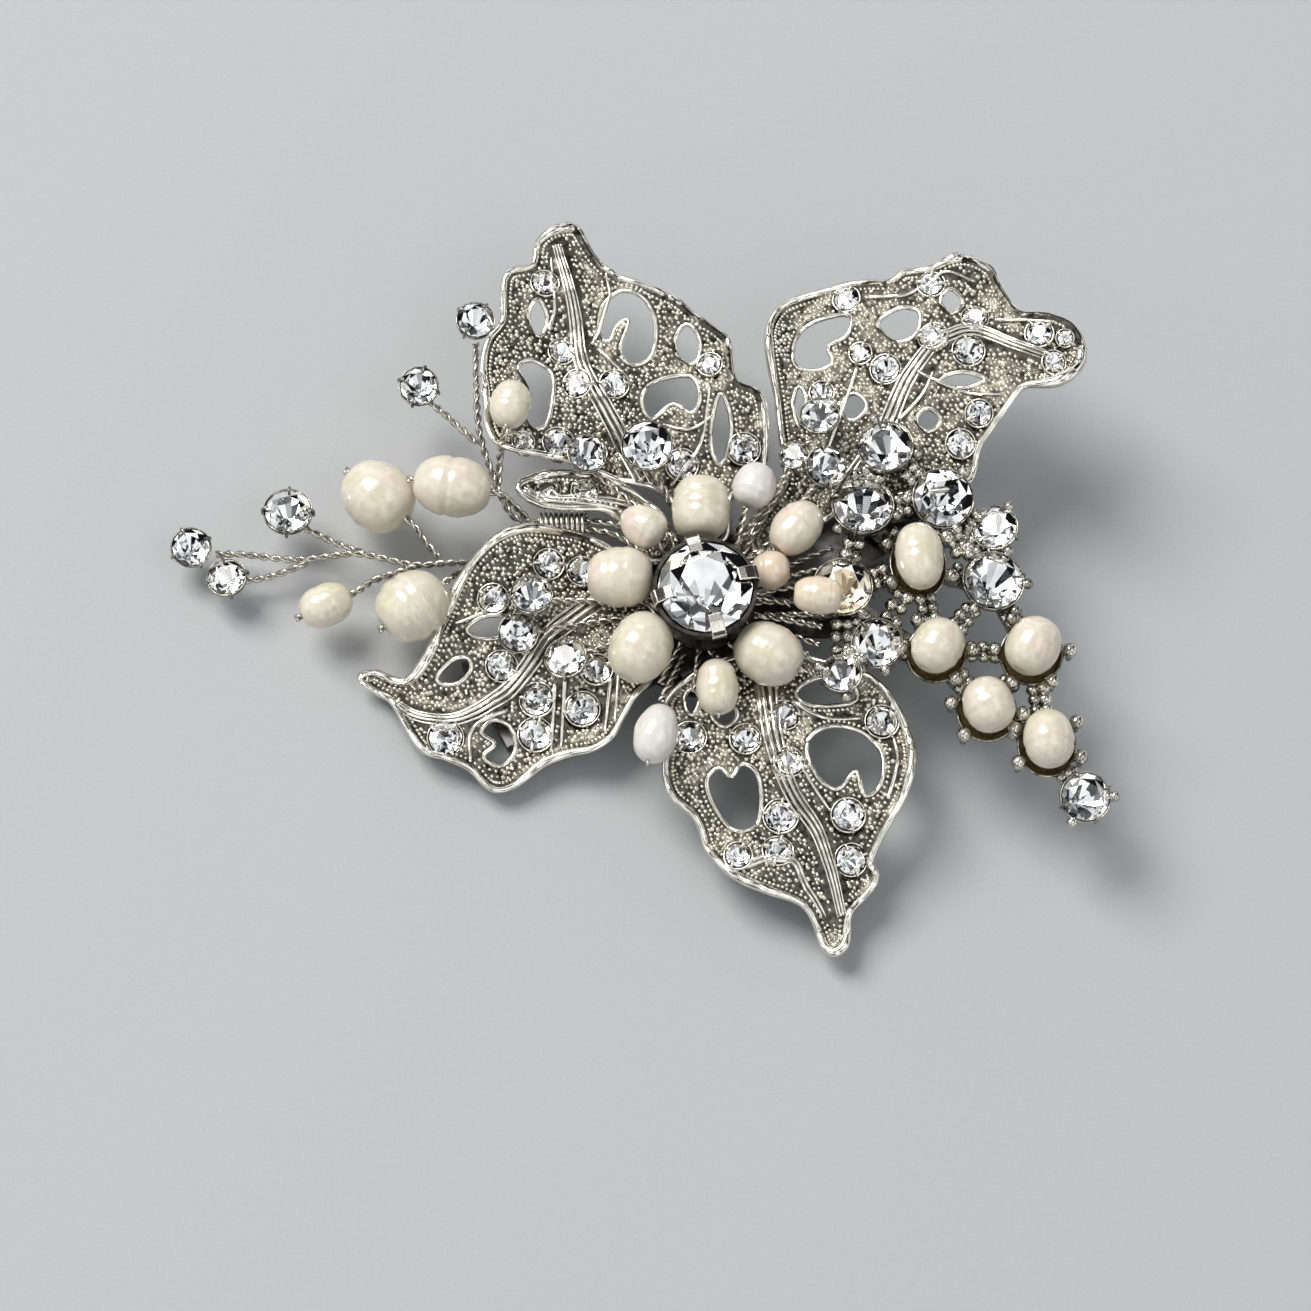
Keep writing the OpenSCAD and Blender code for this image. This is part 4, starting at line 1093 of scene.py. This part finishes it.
def pearl_cup(shape, node):
    """An oval cup under a pearl: gilt inside (slot 1), with a wire rim and ball-ended claws (slot 2)."""
    centre, axis, length, width = pearl_frame(node)
    half_l = length / 2
    half_w = (width + 0.3) / 2
    side = Vector((-axis.y, axis.x, 0))

    def ring(reach, height):
        middle = centre + up(height - width / 2 - CUP_DEPTH)
        around = spokes((axis * (half_l + reach), side * (half_w + reach)), CUP_SIDES)
        return [middle + out for out in around]

    rings = [ring(reach, height) for reach, height, _ in CUP_WALL]
    for low, high, (_, _, material) in zip(rings, rings[1:], CUP_WALL[1:]):
        shape.add(low + high, band(0, CUP_SIDES, CUP_SIDES), material)
    shape.add(rings[0], [list(range(CUP_SIDES))[::-1]])
    shape.add(rings[-1], [list(range(CUP_SIDES))], 1)
    tube(shape, ring(0.14, 1.2), 0.16, closed=True)
    claw_axes = (axis * (half_l + 0.4), side * (half_w + 0.75) * 1.05)
    for degrees in CUP_CLAWS:
        spot = centre + up(CLAW_LIFT - width / 2) + spoke(claw_axes, math.radians(degrees))
        tube(shape, [spot - up(2.5), spot], 0.36, 8)
        ball(shape, spot, 0.78, 2, 16)


def granules(shape, places):
    """Pairs of solid beads in strings along the frame, from one cup's rim to the next."""
    for i, (centre, r) in enumerate(places):
        for other, far in places[i + 1:]:
            apart = (other - centre).xy.length
            gap = apart - r - far
            if gap < BRIDGED[0] or gap > BRIDGED[1]:
                continue
            way = (other - centre) / apart
            across = Vector((-way.y, way.x, 0))
            count = max(1, round((gap + 0.6) / GRANULE_STEP))
            for k in range(count):
                share = (r - 0.1 + (gap + 0.2) * (k + 0.5) / count) / apart
                spot = centre.lerp(other, share) - up(0.95)
                for side in (-0.55, 0.55):
                    size = random.uniform(*GRANULE_R)
                    lift = random.uniform(-0.3, 0.3)
                    ball(shape, spot + across * side + up(lift), size, 0, 14)


def build_cluster():
    """The pearls' cups, the stones and their cups, and the beads between and beside them."""
    cups = Shape()
    for node in CLUSTER_PEARLS:
        pearl_cup(cups, node)
    cups.piece("cluster_pearl_cups", [CUP, GILT, BALL], ["cluster_cups"])
    clear = stone_places("cluster_stones")
    stones_piece("cluster_cut_stones", clear, "cluster_stones")
    gold = stone_places("champagne_stone")
    stones_piece("champagne_cut_stone", gold, "champagne_stone", (CHAMPAGNE, GOLD_FOIL))
    places = clear + gold
    settings = Shape()
    for i, (centre, axis, d) in enumerate(places):
        stone_cup(settings, centre, axis, d, 0.4 + 0.9 * i)
    settings.piece("cluster_stone_cups", [CUP], ["cluster_settings"])
    beads = Shape()
    rims = [(centre, d / 2 + 0.2) for centre, _, d in places]
    for node in CLUSTER_PEARLS:
        centre, _, length, width = pearl_frame(node)
        rims.append((centre + up(CLAW_LIFT - width / 2), (length + width) / 4 + 0.3))
    granules(beads, rims)
    for i, (centre, axis, d) in enumerate(places):
        for k in range(3):
            out = heading(0.7 + 2.1 * k + 1.1 * i)
            ball(beads, centre + out * (d / 2 + 0.5) - axis * 0.25, 0.58, 0, 12)
    beads.piece("cluster_granules", [BALL])


# -------- middle
# A prong of the large setting: reach past the girdle and height, from foot to tip
PRONG = ((0.25, -0.9), (0.42, 0.3), (0.2, 0.85), (-0.7, 1.25), (-1.45, 1.5))
PRONG_T = 0.3
PRONG_HALF = 0.78   # half the foot's width
PRONG_TAPER = 0.03  # how much of that is lost at each point


def build_middle():
    """The large stone in its setting, whose four flat prongs fold over the crown."""
    places = stone_places("middle_stone")
    stones_piece("middle_cut_stone", places, "middle_stone")
    centre, axis, d = places[0]
    shape = Shape()
    for k in range(4):
        out = heading(math.radians(15 + 90 * k))
        across = Vector((-out.y, out.x, 0))
        corners = []
        for i, (reach, height) in enumerate(PRONG):
            # The foot's thickness is outwards, and the folded end's is upwards
            thick = (out if i < 2 else out * 0.3 + axis * 0.9) * PRONG_T
            half = across * (PRONG_HALF - PRONG_TAPER * i)
            inner = centre + out * (d / 2 + reach) + axis * height
            for spot in (inner, inner + thick):
                corners += [spot - half, spot + half]
        faces = [[0, 1, 3, 2], [16, 18, 19, 17]]
        for a in range(0, 16, 4):
            b = a + 4
            faces += [[a, b, b + 1, a + 1], [a + 2, a + 3, b + 3, b + 2],
                      [a, a + 2, b + 2, b], [a + 1, b + 1, b + 3, a + 3]]
        shape.add(corners, faces, 0, False)
    made = shape.piece("middle_prongs", [RIM])
    edge = made.modifiers.new("edge", "BEVEL")
    edge.width = 0.08 * MM
    edge.segments = 2


# -------- carried-over CAD nodes
def dress_nodes():
    """Better metals for the nodes whose CAD shape stays."""
    finishes = {
        "back_plate": DARK, "middle_setting": DARK, "cluster_frame": CUP, "clip_top_jaw": STEEL,
        "clip_lower_jaw": STEEL, "clip_hinge_pin": STEEL, "clip_spring_coil": WIRE, "clip_spring_leg": WIRE,
    }
    for name, material in finishes.items():
        mesh = NODES[name].data
        mesh.materials.clear()
        mesh.materials.append(material)


# -------- studio
FLOOR_HALF = 1.5  # half the floor's side, in metres
ROOM_LIGHT = 1.35
PLAIN_LIGHT = 0.3
WALL = (0.006, 0.006, 0.007)
ELEVATION = math.radians(72)
CAMERA_DISTANCE = 545
CAMERA_AIM = Vector((-4.95, -5.45, -5.2))  # what the camera looks at, from the large stone
LENS = 149.7
SENSOR = 36


def in_scene(made):
    bpy.context.scene.collection.objects.link(made)
    return made


def build_floor():
    """A pale matt board."""
    board = Finish("pale_board", Roughness=0.85)
    board.vary(board.noise(3000, 6.0, 0.7), [(0.3, (0.515, 0.525, 0.535)), (0.7, (0.565, 0.575, 0.585))])
    board.bump(board.noise(2500, 5.0), 0.3, 0.00005)
    mesh = bpy.data.meshes.new("floor")
    corners = [(x * FLOOR_HALF, y * FLOOR_HALF, 0) for x, y in ((-1, -1), (1, -1), (1, 1), (-1, 1))]
    mesh.from_pydata(corners, [], [(0, 1, 2, 3)])
    mesh.materials.append(board.material)
    in_scene(bpy.data.objects.new("floor", mesh))


def area_light(name, direction, distance, size, power, colour=(1, 1, 1)):
    """A square soft box that faces the large stone from a direction in the design frame."""
    light = bpy.data.lights.new(name, "AREA")
    light.size = size
    light.energy = power
    light.color = colour
    made = in_scene(bpy.data.objects.new(name, light))
    target = DESIGN @ MIDDLE
    made.location = target + (TURN.to_3x3() @ Vector(direction)).normalized() * distance
    made.rotation_euler = (made.location - target).to_track_quat("Z", "Y").to_euler()


def build_world():
    """Even grey light for matt surfaces; windows and dark walls for what is polished to reflect."""
    world = bpy.data.worlds.new("studio")
    world.use_nodes = True
    bpy.context.scene.world = world
    tree = world.node_tree
    tree.nodes.clear()
    link = tree.links.new
    place = add_node(tree, "ShaderNodeTexCoord")
    pattern = add_node(tree, "ShaderNodeTexNoise", Scale=2.6, Detail=1.0)
    link(place.outputs["Generated"], pattern.inputs["Vector"])
    room = add_node(tree, "ShaderNodeBackground", Strength=ROOM_LIGHT)
    link(ramp(tree, pattern.outputs["Fac"], [(0.455, WALL), (0.525, (1, 1, 1))]), room.inputs["Color"])
    plain = add_node(tree, "ShaderNodeBackground", Strength=PLAIN_LIGHT, Color=(0.93, 0.96, 1.0, 1))
    rays = add_node(tree, "ShaderNodeLightPath")
    matt = add_node(tree, "ShaderNodeMath", operation="MAXIMUM")
    link(rays.outputs["Is Diffuse Ray"], matt.inputs[0])
    link(rays.outputs["Is Camera Ray"], matt.inputs[1])
    mix = add_node(tree, "ShaderNodeMixShader")
    link(matt.outputs["Value"], mix.inputs["Fac"])
    link(room.outputs["Background"], mix.inputs[1])
    link(plain.outputs["Background"], mix.inputs[2])
    link(mix.outputs["Shader"], add_node(tree, "ShaderNodeOutputWorld").inputs["Surface"])


def build_camera():
    """A long lens that looks down at the flower from in front."""
    back = Vector((0, -math.cos(ELEVATION), math.sin(ELEVATION)))
    above = Vector((0, math.sin(ELEVATION), math.cos(ELEVATION)))
    turn = Matrix((above.cross(back), above, back)).transposed()
    camera = bpy.data.cameras.new("camera")
    camera.sensor_width = SENSOR
    camera.lens = LENS
    camera.clip_start = 0.01
    camera.clip_end = 10
    made = in_scene(bpy.data.objects.new("camera", camera))
    place = DESIGN @ (MIDDLE + CAMERA_AIM + back * CAMERA_DISTANCE)
    made.matrix_world = Matrix.Translation(place) @ TURN @ turn.to_4x4()
    bpy.context.scene.camera = made


build_camera()
build_world()
build_floor()
area_light("key", (-0.75, 0.75, 1.5), 1.4, 0.72, 17.0, (1.0, 0.985, 0.96))
area_light("fill", (0.9, -0.5, 1.6), 0.9, 0.5, 0.6)
bpy.context.scene.view_settings.view_transform = "Standard"

build_leaves()
build_pearls()
build_wired("spray_crystals", "spray_settings", "spray")
build_wired("accent_crystals", "accent_settings", "accent")
build_wires()
build_cluster()
build_middle()
dress_nodes()
